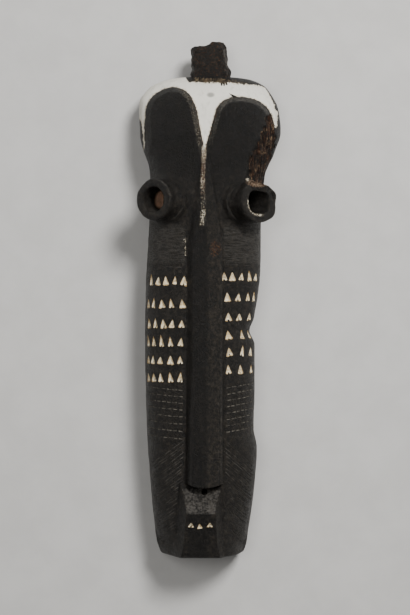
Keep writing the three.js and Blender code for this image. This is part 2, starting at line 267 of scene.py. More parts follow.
def nose_depth(x, level):
    """Depth of the nose, or far below the face beside and under it."""
    aside = x - NOSE_X
    half, middle, edge = nose_half(level), nose_middle(level), nose_edge(level)
    bevelled = nose_bevel(level) - half
    reach = np.where(aside < middle, middle - bevelled, half - middle)
    across = np.clip(np.abs(aside - middle) / reach, 0, 1)
    ridge = 1 - np.sqrt(across ** 2 + RIDGE_ROUNDING) / math.sqrt(1 + RIDGE_ROUNDING)
    crest = edge + (nose_ridge(level) - edge) * ridge
    wear, wear_width = NOSE_EDGE_WEAR
    worn_edge = wear * smooth(np.abs(aside - middle), reach - wear_width, reach)
    bevel = np.clip((bevelled - aside) / nose_bevel(level), 0, 1) * (edge + 1.0)
    top = face_depth(np.full(x.shape, NOSE_X), level) + crest - worn_edge - bevel
    beside = smooth(np.abs(aside), half - 0.2, half + 1.3)
    return np.where(level < NOSE_TOP, top * (1 - beside) + NOWHERE * beside, NOWHERE)


# Mouth: a block under the nose. Its upper lip slopes up to the nose end, and its flat front,
# with the teeth, slopes back to the lower end of the face.
LIP_LEVEL = 61.5
LIP_DEPTH = 127.0
MOUTH_ROOT = 100.0
LIP_FALL = 0.63
FRONT_FALL = 0.40
LEAST_SIDE = 8.0
mouth_foot_left = through([(0, -34), (30, -36.5), (LIP_LEVEL, -38), (NOSE_END, -35)])
mouth_left = through([(0, -30), (30, -28), (LIP_LEVEL, -25.5), (NOSE_END, -33)])
mouth_right = through([(0, 18), (30, 16), (LIP_LEVEL, 14.5), (NOSE_END, 23.5)])
mouth_foot_right = through([(0, 22), (30, 24), (LIP_LEVEL, 25), (NOSE_END, 25.5)])


def mouth_depth(x, level):
    """Depth of the mouth block, or far below the face beside it."""
    top = LIP_DEPTH - np.abs(level - LIP_LEVEL) * np.where(level > LIP_LEVEL, LIP_FALL, FRONT_FALL)
    sides = np.minimum(*[
        np.clip((x - foot(level)) / (edge(level) - foot(level)), -9, 1)
        for foot, edge in ((mouth_foot_left, mouth_left), (mouth_foot_right, mouth_right))
    ])
    past = np.clip(1 - level / ROUNDED_END, 0, 1)
    rounded = ROUNDED_END * (1 - np.sqrt(1 - past ** 2))
    return np.minimum(top, MOUTH_ROOT + np.maximum(top - MOUTH_ROOT, LEAST_SIDE) * sides) - rounded


# Eyes: two short tubes in one with the face. They look outwards, and each is bored through
# to the hollow. The top of the right one is broken away.
EYE_TURN = math.radians(33)
EYE_ROOT = 70.0
BORE_RADIUS = 16.5
EYES = {"left": (-69.5, 480.0, 121.0, -1), "right": (72.0, 477.0, 121.0, 1)}
EYE_PROFILE = [
    (0, -1.5), (8, -1.5), (15, -1.2), (18.6, 0), (22, 0.2), (25.2, -0.3), (26.9, -1.3), (27.8, -3.4),
    (27.9, -8), (27.5, -14), (28.2, -20), (29.3, -26), (31, -33), (27, -52), (20, -EYE_ROOT),
    (0, -EYE_ROOT),
]
BORE_PROFILE = [
    (0, 6), (BORE_RADIUS + 2.6, 6), (BORE_RADIUS + 1.6, 0.5), (BORE_RADIUS, -2.2),
    (BORE_RADIUS - 0.4, -10), (BORE_RADIUS - 1, -20), (BORE_RADIUS - 2.5, -EYE_ROOT - 1),
    (0, -EYE_ROOT - 1),
]
EYE_BASE_RADIUS = 30.0
FILLET_RISE = 11.0
FILLET_REACH = 5.0
FILLET_OVERLAP = 3.0


def eye_axes(eye):
    """The middle of an eye's mouth, the way it looks, and the way across it."""
    x, level, z, side = EYES[eye]
    out = np.array([side * math.sin(EYE_TURN), 0, math.cos(EYE_TURN)])
    across = np.array([math.cos(EYE_TURN), 0, -side * math.sin(EYE_TURN)])
    return np.array([x, level, z]), out, across


def eye_places(points, eye):
    """Distance from an eye's axis, height over its mouth, and angle around it."""
    centre, out, across = eye_axes(eye)
    offset = points - centre
    aside, up = offset @ across, offset[:, 1]
    return np.hypot(aside, up), offset @ out, np.arctan2(up, aside)


def eye_fillet(points):
    """Wood left standing around the foot of each tube."""
    rise = np.zeros(len(points))
    for eye in EYES:
        away, height, _ = eye_places(points, eye)
        near = np.exp(-np.maximum(away - EYE_BASE_RADIUS + FILLET_OVERLAP, 0) / FILLET_REACH)
        rise += FILLET_RISE * near * smooth(points[:, 2], 40, 75) * (height < 0)
    return rise


# The skin of the block is one closed surface, laid out as rows along the length and columns
# across. Rows and columns crowd together where the nose and mouth have corners.
ROW_STRETCHES = [
    (ROUNDED_END, 59, 1.75), (59, 64, 0.8), (64, 97.2, 1.75),
    (97.2, 98.8, 0.4), (98.8, 500, 1.75), (500, 636, 1.5), (636, CROWN - ROUNDED_END, 1.2),
]
END_ROWS = [0.0, 0.4, 1.1, 2.1]
COLUMN_COUNTS = [12, 54, 4, 28, 4, 54, 12]
BACK_COLUMNS = 8
CAP_RINGS = 9
ARCH_POINTS = 361
SWELL, SWELL_SIZE = 0.7, (30.0, 55.0, 30.0)
ADZE_FACETS, FACET_SIZE = 0.3, (7.0, 12.0, 7.0)
SIDE_SWELL, HALF_WIDTH = 1.4, 80.0
middle_half = through([
    (NOSE_END, 24.5), (420, 24), (448, 20.5), (494, 14), (540, 13), (600, 22), (CROWN, 20),
])


def row_levels():
    """The levels of the rows, from the chin to the crown."""
    rows = list(END_ROWS)
    for low, high, step in ROW_STRETCHES:
        rows.extend(np.linspace(low, high, max(round((high - low) / step), 1), endpoint=False))
    return np.array(rows + [CROWN - end for end in reversed(END_ROWS)])


def corner_marks(level):
    """Where the columns crowd: both sides of the nose, or of the mouth under it."""
    if level < NOSE_END:
        edges = (mouth_foot_left, mouth_left, mouth_right, mouth_foot_right)
        return [float(edge(level)) for edge in edges]
    half = float(middle_half(level))
    return [NOSE_X - half - 1.3, NOSE_X - half + 0.2, NOSE_X + half - 0.2, NOSE_X + half + 1.3]


def arch(level, left, right, top, count):
    """Places over the rounded section at a level, and the depth at which its sides begin."""
    side, power = float(side_depth(level)), 2 / float(roundness(level))
    turn = np.linspace(-math.pi / 2, math.pi / 2, count)
    x = (left + right) / 2 + (right - left) / 2 * np.sign(turn) * np.abs(np.sin(turn)) ** power
    return x, side + (top - side) * np.maximum(np.cos(turn), 0) ** power, side


def skin_row(level):
    """One row of places on the plain block, from the left rim over the face to the right."""
    past = max(ROUNDED_END - level, level - (CROWN - ROUNDED_END), 0.0) / ROUNDED_END
    inset = ROUNDED_END * (1 - math.sqrt(1 - past ** 2))
    left, right = float(left_edge(level)) + inset, float(right_edge(level)) - inset
    x, z, side = arch(level, left, right, float(base_depth(level)) - inset, ARCH_POINTS)
    x = np.concatenate([[left + RIM_LEAN], x, [right - RIM_LEAN]])
    z = np.concatenate([[0.0], z, [0.0]])
    run = np.concatenate([[0], np.cumsum(np.hypot(np.diff(x), np.diff(z)))])
    stops = np.interp(corner_marks(level), x[1:-1], run[1:-1])
    bounds = [0.0, side * 0.8, *stops, run[-1] - side * 0.8, run[-1]]
    stretches = [
        np.linspace(low, high, count, endpoint=False)
        for low, high, count in zip(bounds, bounds[1:], COLUMN_COUNTS)
    ]
    places = np.concatenate(stretches + [run[-1:]])
    across, depth = np.interp(places, run, x), np.interp(places, run, z)
    return np.stack([across, np.full(places.shape, level), depth], 1)


def carved(points):
    """Raises the lobes, nose and mouth on the plain block, eats the decay and wears it all."""
    x, level, plain = points.T
    front = smooth(plain, side_depth(level) - 1, side_depth(level) + 14)
    bent = level + nose_arc(x, level)
    full = face_depth(x, level, RELIEF) - face_depth(x, level, 0.0)
    z = plain + full * lobe_lift(x, level)
    below_nose = smooth(level, NOSE_END - 0.5, NOSE_END + 0.5)
    nose = nose_depth(x, level) * below_nose + NOWHERE * (1 - below_nose)
    mouth = mouth_depth(x, level) * (1 - below_nose) + NOWHERE * below_nose
    z = np.where(front > 0.5, np.maximum.reduce([z, nose, mouth]), z)
    raised = np.stack([x, level, z], 1)
    z = z + eye_fillet(raised)
    eaten, lumps = eaten_amount(raised)
    fibres = rough(raised, FIBRE_SIZE, 3)
    z = z - eaten * front * (EATEN_DEPTH + FIBRE_RISE * fibres + LUMP_RISE * lumps)
    hand = SWELL * rough(raised, SWELL_SIZE, 1, 2) + ADZE_FACETS * rough(raised, FACET_SIZE, 2, 2)
    across = (x - (left_edge(level) + right_edge(level)) / 2) / HALF_WIDTH
    x = x + SIDE_SWELL * hand * across * (1 - front) * smooth(plain, 0, 6)
    z = np.where(plain > 0.5, z + hand * front, z)
    return np.stack([x, bent, np.maximum(z, 0)], 1)


def grid_faces(rows, columns):
    """Quads between rows of equal length that each close on themselves."""
    index = np.arange(rows * columns).reshape(rows, columns)
    index = np.hstack([index, index[:, :1]])
    quads = [index[:-1, :-1], index[:-1, 1:], index[1:, 1:], index[1:, :-1]]
    return np.stack(quads, -1).reshape(-1, 4).tolist()


def closed_body(rings):
    """Vertices and faces of a body skinned over closed rings, with a point at each end."""
    width = len(rings[0])
    vertices = np.vstack(rings + [rings[0].mean(0)[None], rings[-1].mean(0)[None]])
    faces = grid_faces(len(rings), width)
    start, end, last = len(vertices) - 2, len(vertices) - 1, (len(rings) - 1) * width
    for i in range(width):
        after = (i + 1) % width
        faces.append([start, after, i])
        faces.append([end, last + i, last + after])
    return vertices, faces


def keep_kind(mesh, kind):
    """Marks all faces with the kind of surface that they are, which lasts through every cut."""
    mesh.attributes.new("kind", "INT", "FACE").data.foreach_set("value", [kind] * len(mesh.polygons))


def mesh_object(name, vertices, faces, kind):
    """A closed mesh object in the frame, all of one kind of surface."""
    mesh = bpy.data.meshes.new(name)
    mesh.from_pydata(placed(vertices).tolist(), [], faces)
    sheet = bmesh.new()
    sheet.from_mesh(mesh)
    bmesh.ops.recalc_face_normals(sheet, faces=sheet.faces)
    sheet.to_mesh(mesh)
    sheet.free()
    keep_kind(mesh, kind)
    return object_of(name, mesh)


def block_rings():
    """The closed rings of the block, with the rings that close its chin and crown."""
    rows = [skin_row(level) for level in row_levels()]
    skin = carved(np.vstack(rows)).reshape(len(rows), -1, 3)
    closed = []
    for row in skin:
        back = np.linspace(row[-1], row[0], BACK_COLUMNS + 1)[1:-1]
        closed.append(np.vstack([row, back]))
    shares = np.linspace(1, 0, CAP_RINGS + 1)[:-1]
    ends = [(ring, (ring.min(0) + ring.max(0)) / 2) for ring in (closed[0], closed[-1])]
    chin, crown = [[centre + (ring - centre) * share for share in shares] for ring, centre in ends]
    return chin[:0:-1] + closed + crown[1:]


WOOD, BARE, CHIPPED, DASHED, HATCHED = range(5)
mask = mesh_object("carved_mask", *closed_body(block_rings()), WOOD)


def evaluated(obj):
    """The object's mesh with its modifiers applied, and the modifiers gone."""
    graph = bpy.context.evaluated_depsgraph_get()
    mesh = bpy.data.meshes.new_from_object(
        obj.evaluated_get(graph), preserve_all_data_layers=True, depsgraph=graph
    )
    obj.modifiers.clear()
    obj.data = mesh


def join_or_cut(tool, operation):
    """Joins the tool to the mask, or cuts the mask with it, and deletes the tool."""
    change = mask.modifiers.new("change", "BOOLEAN")
    change.operation = operation
    change.solver = "MANIFOLD"
    change.object = tool
    evaluated(mask)
    bpy.data.objects.remove(tool)


# The tubes of the eyes are carved round by eye, so they are a little out of true. A flake has
# gone from the top of the right one, and its broken edge is ragged.
TUBE_SIDES = 84
BREAK_FROM, BREAK_TO = math.radians(38), math.radians(128)
BREAK_DEPTH = 11.0
LUMP, LUMP_AT = 3.4, 2 * math.pi - 0.6
FLANGE, FLANGE_AT = 3.0, 0.35
GROOVE, GROOVE_RADIUS, GROOVE_WIDTH = 3.5, 23.5, 1.6
SQUARED_BORE = 0.6
OUT_OF_TRUE, UNEVEN_MOUTH, UNEVEN_BORE = 0.9, 0.5, 0.6
RAGGED_BREAK = 3.0


def finer(profile, step):
    """The profile with points added, so that none of its stretches is longer than the step."""
    fine = [profile[0]]
    for (r0, h0), (r1, h1) in zip(profile, profile[1:]):
        count = max(math.ceil(math.hypot(r1 - r0, h1 - h0) / step), 1)
        fine += [(r0 + (r1 - r0) * i / count, h0 + (h1 - h0) * i / count) for i in range(1, count + 1)]
    return fine


def turned(eye, profile, step=2.2):
    """Rings around an eye's axis that follow a profile of (radius, height) points."""
    centre, out, across = eye_axes(eye)
    angles = np.linspace(0, 2 * math.pi, TUBE_SIDES, endpoint=False)
    spokes = np.cos(angles)[:, None] * across + np.sin(angles)[:, None] * np.array([0, 1.0, 0])
    return angles, [centre + out * h + spokes * r for r, h in finer(profile, step)[1:-1]], spokes, out


def tube(eye):
    """An eye's tube, a little out of true, and at the right swollen and broken."""
    angles, rings, spokes, out = turned(eye, EYE_PROFILE)
    shaped = []
    for ring in rings:
        away, height, _ = eye_places(ring, eye)
        lumps = rough(ring, 14.0, 5, 2)
        ring = ring + spokes * (OUT_OF_TRUE * lumps * smooth(away, 8, 20))[:, None]
        ring = ring + out * (UNEVEN_MOUTH * rough(ring, 8.0, 6, 2) * smooth(height, -12, 0))[:, None]
        if eye == "right":
            lower_right = np.exp(-((angles - LUMP_AT) / 0.38) ** 2)
            flange = np.exp(-((angles - FLANGE_AT) / 0.3) ** 2)
            swollen = (LUMP * lower_right + FLANGE * flange) * smooth(away, 20, 25)
            ring = ring + spokes * (swollen * smooth(height, -30, -16))[:, None]
            groove = GROOVE * flange * np.exp(-((away - GROOVE_RADIUS) / GROOVE_WIDTH) ** 2)
            ring = ring - out * (groove * smooth(height, -6, -2))[:, None]
            ragged = rough(ring, (3.0, 3.0, 7.0), 7)
            gone = smooth(angles, BREAK_FROM, BREAK_FROM + 0.5)
            gone *= 1 - smooth(angles, BREAK_TO - 0.3, BREAK_TO)
            limit = -gone * (BREAK_DEPTH + RAGGED_BREAK * ragged) + (1 - gone) * 4
            ring = ring - out * np.maximum(height - limit, 0)[:, None]
        shaped.append(ring)
    return mesh_object(f"{eye}_tube", *closed_body(shaped), WOOD)


def bore(eye):
    """The cutter for an eye's bore. The right one is a little squared."""
    angles, rings, spokes, _ = turned(eye, BORE_PROFILE, 3.0)
    squared = SQUARED_BORE * (eye == "right") * -np.cos(4 * angles)
    shaped = [
        ring + spokes * (squared + UNEVEN_BORE * rough(ring, 11.0, 8, 2))[:, None] for ring in rings
    ]
    return mesh_object(f"{eye}_bore", *closed_body(shaped), WOOD)


for eye in EYES:
    join_or_cut(tube(eye), "UNION")

# Peg: a rough stump on the crown, left from holding the block while it was carved. It is
# chopped square, with a step up to its right half and a notch around its foot.
PEG_FROM = 636.0
PEG_STEP_LEVEL = 693.5
PEG_SIDES = 72
PEG_RING_STEP = 1.6
PEG_CENTRE_DEPTH = 46.0
PEG_SQUARENESS = 0.55
PEG_STEP_FROM, PEG_STEP_TO = 3.5, 7.5
PEG_TOP_SHARES = (0.8 ** 0.5, 0.6, 0.4, 0.2)
DEEP_BLOWS, DEEP_BLOW_SIZE = 1.9, (8.0, 11.0, 8.0)
LIGHT_BLOWS, LIGHT_BLOW_SIZE = 1.2, (3.5, 5.0, 3.5)
TOP_BLOWS, TOP_BLOW_SIZE = 1.2, (6.0, 30.0, 6.0)
peg_left = through([
    (PEG_FROM, -19), (656, -18.3), (664, -17), (668, -18.5), (690, -18), (PEG_STEP_LEVEL, -16),
])
peg_right = through([
    (PEG_FROM, 36), (656, 35.2), (662, 33.5), (668, 31), (684, 29.8), (692, 29), (LENGTH, 24.5),
])
peg_depth = through([(PEG_FROM, 21), (656, 22), (664, 20.5), (668, 22), (686, 20), (LENGTH, 16)])


def peg_rings():
    """The closed rings of the peg, chopped at random, and those that close its top."""
    angles = np.linspace(0, 2 * math.pi, PEG_SIDES, endpoint=False)
    c, s = np.cos(angles), np.sin(angles)
    square_c = np.sign(c) * np.abs(c) ** PEG_SQUARENESS
    square_s = np.sign(s) * np.abs(s) ** PEG_SQUARENESS
    rings = []
    for level in np.arange(PEG_FROM, LENGTH + 0.1, PEG_RING_STEP):
        left, right = float(peg_left(level)), float(peg_right(level))
        x = (left + right) / 2 + (right - left) / 2 * square_c
        z = PEG_CENTRE_DEPTH + float(peg_depth(level)) * square_s
        ring = np.stack([x, np.full(x.shape, level), z], 1)
        chopped = DEEP_BLOWS * rough(ring, DEEP_BLOW_SIZE, 11, 2)
        chopped += LIGHT_BLOWS * rough(ring, LIGHT_BLOW_SIZE, 12, 2)
        ring += np.stack([square_c, 0 * c, square_s], 1) * chopped[:, None]
        rings.append(ring)
    last = rings[-1]
    rings += [last.mean(0) + (last - last.mean(0)) * share for share in PEG_TOP_SHARES]
    for ring in rings:
        x, level = ring[:, 0], ring[:, 1]
        step = PEG_STEP_LEVEL + (LENGTH - PEG_STEP_LEVEL) * smooth(x, PEG_STEP_FROM, PEG_STEP_TO)
        uneven = TOP_BLOWS * rough(ring, TOP_BLOW_SIZE, 13, 2)
        ring[:, 1] = np.minimum(level, step + uneven - TOP_BLOWS)
    return rings


join_or_cut(mesh_object("peg", *closed_body(peg_rings()), WOOD), "UNION")

# Hollow: the back is hollowed out with a curved adze to a wall of about 12 mm. Its scoops
# still show, and the wood inside is bare.
WALL = 12.0
END_WALL = 14.0


def linear(hex_colour):
    """An sRGB hex colour as the linear values that a shader takes."""
    parts = [int(hex_colour[i:i + 2], 16) / 255 for i in (1, 3, 5)]
    return (*[p / 12.92 if p <= 0.04045 else ((p + 0.055) / 1.055) ** 2.4 for p in parts], 1.0)


def add(tree, kind, inputs=(), **settings):
    """Adds a node with its settings. An input is a node or socket to link from, a colour or a value."""
    node = tree.nodes.new(kind)
    for name, value in settings.items():
        setattr(node, name, value)
    for name, value in dict(inputs).items():
        if isinstance(value, bpy.types.Node):
            value = value.outputs[0]
        if isinstance(value, bpy.types.NodeSocket):
            tree.links.new(value, node.inputs[name])
        else:
            is_colour = isinstance(value, str) and value.startswith("#")
            node.inputs[name].default_value = linear(value) if is_colour else value
    return node


def finish_named(name):
    """A new finish: its material, its node tree and the inputs of its shader."""
    material = bpy.data.materials.new(name)
    material.use_nodes = True
    return material, material.node_tree, material.node_tree.nodes["Principled BSDF"].inputs


def patches(tree, size, low, high, stretch=(1, 1, 1), detail=4.0, sharp=0.6):
    """Patches of a size in millimetres, drawn out along the axes: where noise passes low to high."""
    spot = add(tree, "ShaderNodeTexCoord").outputs["Object"]
    scale = [1 / (size * MM * part) for part in stretch]
    scaled = add(tree, "ShaderNodeMapping", {"Vector": spot, "Scale": scale})
    noise_of = add(tree, "ShaderNodeTexNoise", {
        "Vector": scaled, "Scale": 1.0, "Detail": detail, "Roughness": sharp,
    })
    return add(tree, "ShaderNodeMapRange", {
        "Value": noise_of, "From Min": low, "From Max": high,
    }, interpolation_type="SMOOTHSTEP")


def frayed_edge(tree, value, size, fray, low, high):
    """Where a value passes low to high, with an edge that noise of the given size frays."""
    waver = patches(tree, size, 0.3, 0.7)
    waver = add(tree, "ShaderNodeMath", {0: waver, 1: 0.5}, operation="SUBTRACT")
    value = add(tree, "ShaderNodeMath", {0: waver, 1: fray, 2: value}, operation="MULTIPLY_ADD")
    return add(tree, "ShaderNodeMapRange", {
        "Value": value, "From Min": low, "From Max": high,
    }, interpolation_type="SMOOTHSTEP")


def coat(tree, under, colour, *shares):
    """Lays a colour over another, by the product of the shares."""
    share = shares[0]
    for part in shares[1:]:
        share = add(tree, "ShaderNodeMath", {0: share, 1: part}, operation="MULTIPLY")
    return add(tree, "ShaderNodeMix", {0: share, 6: under, 7: colour}, data_type="RGBA").outputs[2]


bare_wood, tree, bare_of = finish_named("bare_carved_hardwood")
lines = patches(tree, 1.6, 0.36, 0.64, (1, 24, 1))
colour = coat(tree, "#4d3423", "#7d5b3f", patches(tree, 22, 0.35, 0.65))
colour = coat(tree, colour, "#35241a", lines, 0.6)
colour = coat(tree, colour, "#241a13", patches(tree, 40, 0.45, 0.62), 0.7)
tree.links.new(colour, bare_of["Base Color"])
bare_of["Roughness"].default_value = 0.8
furrows = add(tree, "ShaderNodeBump", {"Strength": 0.5, "Distance": 0.5 * MM, "Height": lines})
tree.links.new(furrows.outputs[0], bare_of["Normal"])
HOLLOW_BELOW = -8.0
HOLLOW_ROWS = 84
HOLLOW_COLUMNS = 64
SIDE_COLUMNS = 8
EVEN_ROWS = 0.75
SCOOP_DEPTH, SCOOP_SIZE = 1.6, (16.0, 34.0, 16.0)
SMALL_SCOOPS, SMALL_SCOOP_SIZE = 0.3, (6.0, 14.0, 6.0)
hollow_depth = through([
    (END_WALL, 82), (60, 90), (500, 92), (545, 88), (570, 84), (600, 80), (622, 68),
    (CROWN - END_WALL, 44),
])


def hollow_rings():
    """The closed rings of the hollow's cutter, which reaches out below the back rim."""
    rings = []
    share = np.linspace(0, 1, HOLLOW_ROWS)
    eased = 0.5 - 0.5 * np.cos(math.pi * share)
    for level in END_WALL + (CROWN - 2 * END_WALL) * (EVEN_ROWS * share + (1 - EVEN_ROWS) * eased):
        left, right = float(left_edge(level)) + WALL, float(right_edge(level)) - WALL
        x, z, side = arch(level, left, right, float(hollow_depth(level)), HOLLOW_COLUMNS)
        up = np.linspace(HOLLOW_BELOW, side - 3, SIDE_COLUMNS)
        x = np.concatenate([np.full(SIDE_COLUMNS, left - 1), x, np.full(SIDE_COLUMNS, right + 1)])
        z = np.concatenate([up, z, up[::-1]])
        ring = np.stack([x, np.full(x.shape, level), z], 1)
        scoops = np.abs(rough(ring, SCOOP_SIZE, 21, 1))
        scoops += SMALL_SCOOPS * rough(ring, SMALL_SCOOP_SIZE, 22, 2)
        inwards = np.array([(left + right) / 2, level, 20.0]) - ring
        inwards /= np.maximum(np.linalg.norm(inwards, axis=1), 1)[:, None]
        rings.append(ring + inwards * (SCOOP_DEPTH * scoops * smooth(z, 0, 8))[:, None])
    return rings


join_or_cut(mesh_object("hollow", *closed_body(hollow_rings()), BARE), "DIFFERENCE")
for eye in EYES:
    join_or_cut(bore(eye), "DIFFERENCE")

# Chips: rows of three-sided pits on both cheeks, each cut with three strokes of a knife, its
# point upwards, and rubbed with white kaolin. No two are quite alike.
CHIP_ROWS = {
    372.5: (-28.5, -40.6, -52.7, -63.2, -72.5), 341.5: (-30.2, -45.2, -57.8, -69.5, -76.5),
    314.5: (-31.3, -44.3, -55.9, -67.0, -75.5), 290.0: (-32.5, -46.3, -58.5, -69.0, -76.5),
    266.0: (-33.3, -46.4, -60.3, -70.4, -76.5), 242.0: (-33.3, -46.4, -59.7, -69.0, -76.5),
    378.0: (25.8, 36.7, 49.1, 60.1, 68.6), 350.5: (30.1, 44.8, 57.9, 66.0), 324.0: (31.6, 46.2, 60.0),
    299.5: (31.6, 50.0, 60.0), 277.0: (33.0, 50.0, 61.6), 253.0: (31.6, 47.7, 62.5),
}
CHIP_SIZE = (9.0, 11.8, 3.0)
CHIP_SIDES = 15
CHIP_WAIST, CHIP_BLUNTNESS = 0.58, 2.5
CHIP_DOWN, CHIP_UNEVENNESS = 1.5, 0.14
MOST_LEAN = (0.07, 0.07, 0.16)
ABOVE = 1.0

# The clay in the cuts is thickest in their middle. Their edges are yellowed, and in about half
# of them it has come off at the foot, where the dark wood shows.
CLAY_WHITE, CLAY_CREAM, CLAY_YELLOW = "#f1e6cc", "#dcc699", "#a5854c"
CUT_BROWN, CUT_DARK = "#5b3d22", "#17120e"
chip_clay, tree, clay_of = finish_named("kaolin_rubbed_into_cuts")
in_chip = add(tree, "ShaderNodeSeparateXYZ", {
    "Vector": add(tree, "ShaderNodeAttribute", attribute_name="in_chip").outputs["Vector"],
}).outputs
fine = patches(tree, 1.4, 0.40, 0.62)
coarse = patches(tree, 3.0, 0.42, 0.60)
each = patches(tree, 13, 0.44, 0.52)
some = patches(tree, 21, 0.55, 0.62)
aside = add(tree, "ShaderNodeMath", {0: in_chip["X"]}, operation="ABSOLUTE")
legs = add(tree, "ShaderNodeMath", {0: in_chip["Y"], 1: 0.42, 2: aside}, operation="MULTIPLY_ADD")
notch = add(tree, "ShaderNodeMath", {0: fine, 1: -0.07, 2: legs}, operation="MULTIPLY_ADD")
notch = add(tree, "ShaderNodeMapRange", {"Value": notch, "From Min": -0.06, "From Max": 0.0})
bare_foot = add(tree, "ShaderNodeMath", {0: 1.0, 1: notch}, operation="SUBTRACT")
border = add(tree, "ShaderNodeMapRange", {
    "Value": in_chip["Z"], "From Min": -0.44, "From Max": -0.26,
})
colour = coat(tree, CLAY_WHITE, CLAY_CREAM, coarse)
colour = coat(tree, colour, CUT_BROWN, some, fine, 0.7)
colour = coat(tree, colour, CLAY_YELLOW, border, 0.75)
colour = coat(tree, colour, CUT_BROWN, border, fine, 0.8)
colour = coat(tree, colour, CUT_DARK, bare_foot, each)
tree.links.new(colour, clay_of["Base Color"])
clay_of["Roughness"].default_value = 0.9
clay_of["Specular IOR Level"].default_value = 0.25
rubbed = add(tree, "ShaderNodeBump", {"Strength": 0.6, "Distance": 0.4 * MM, "Height": coarse})
tree.links.new(rubbed.outputs[0], clay_of["Normal"])


def face_out(x, level):
    """Which way the plain face looks at a place."""
    slope_x = face_depth(x + 0.5, level) - face_depth(x - 0.5, level)
    slope_level = (face_depth(x, level + 1.0) - face_depth(x, level - 1.0)) / 2
    return Vector((-float(slope_x), -float(slope_level), 1.0)).normalized()


skin = BVHTree.FromPolygons([v.co for v in mask.data.vertices], [p.vertices for p in mask.data.polygons])


def on_skin(x, level):
    """The place on the carved surface at a place in the front view."""
    return skin.ray_cast(Vector(placed([x, level, 300.0])), Vector((0, 0, -1)))[0]


def marks_object(name, places, outs, edges=()):
    """Places on the surface, as a mesh that nodes put cuts on."""
    mesh = bpy.data.meshes.new(name)
    mesh.from_pydata([tuple(place) for place in places], list(edges), [])
    out = mesh.attributes.new("out", "FLOAT_VECTOR", "POINT")
    out.data.foreach_set("vector", [value for normal in outs for value in normal])
    return object_of(name, mesh)


def tree_with(name, sizes):
    """A geometry tree with inputs for places, sizes, a seed and a finish, and one output."""
    tree = bpy.data.node_groups.new(name, "GeometryNodeTree")
    tree.interface.new_socket("Places", in_out="INPUT", socket_type="NodeSocketGeometry")
    for label, kind in {**sizes, "Seed": "NodeSocketInt", "Finish": "NodeSocketMaterial"}.items():
        tree.interface.new_socket(label, in_out="INPUT", socket_type=kind)
    tree.interface.new_socket("Cuts", in_out="OUTPUT", socket_type="NodeSocketGeometry")
    return tree, tree.nodes.new("NodeGroupInput").outputs, tree.nodes.new("NodeGroupOutput").inputs


def around_one(tree, share):
    """One less a share, and one more."""
    return [add(tree, "ShaderNodeMath", {0: 1.0, 1: share}, operation=way) for way in ("SUBTRACT", "ADD")]


def finished_tree(tree, cuts, given, made):
    """Ends a tree: makes its cuts real and gives them their finish."""
    real = add(tree, "GeometryNodeRealizeInstances", {"Geometry": cuts})
    finish = add(tree, "GeometryNodeSetMaterial", {"Geometry": real, "Material": given["Finish"]})
    tree.links.new(finish.outputs[0], made["Cuts"])
    return tree


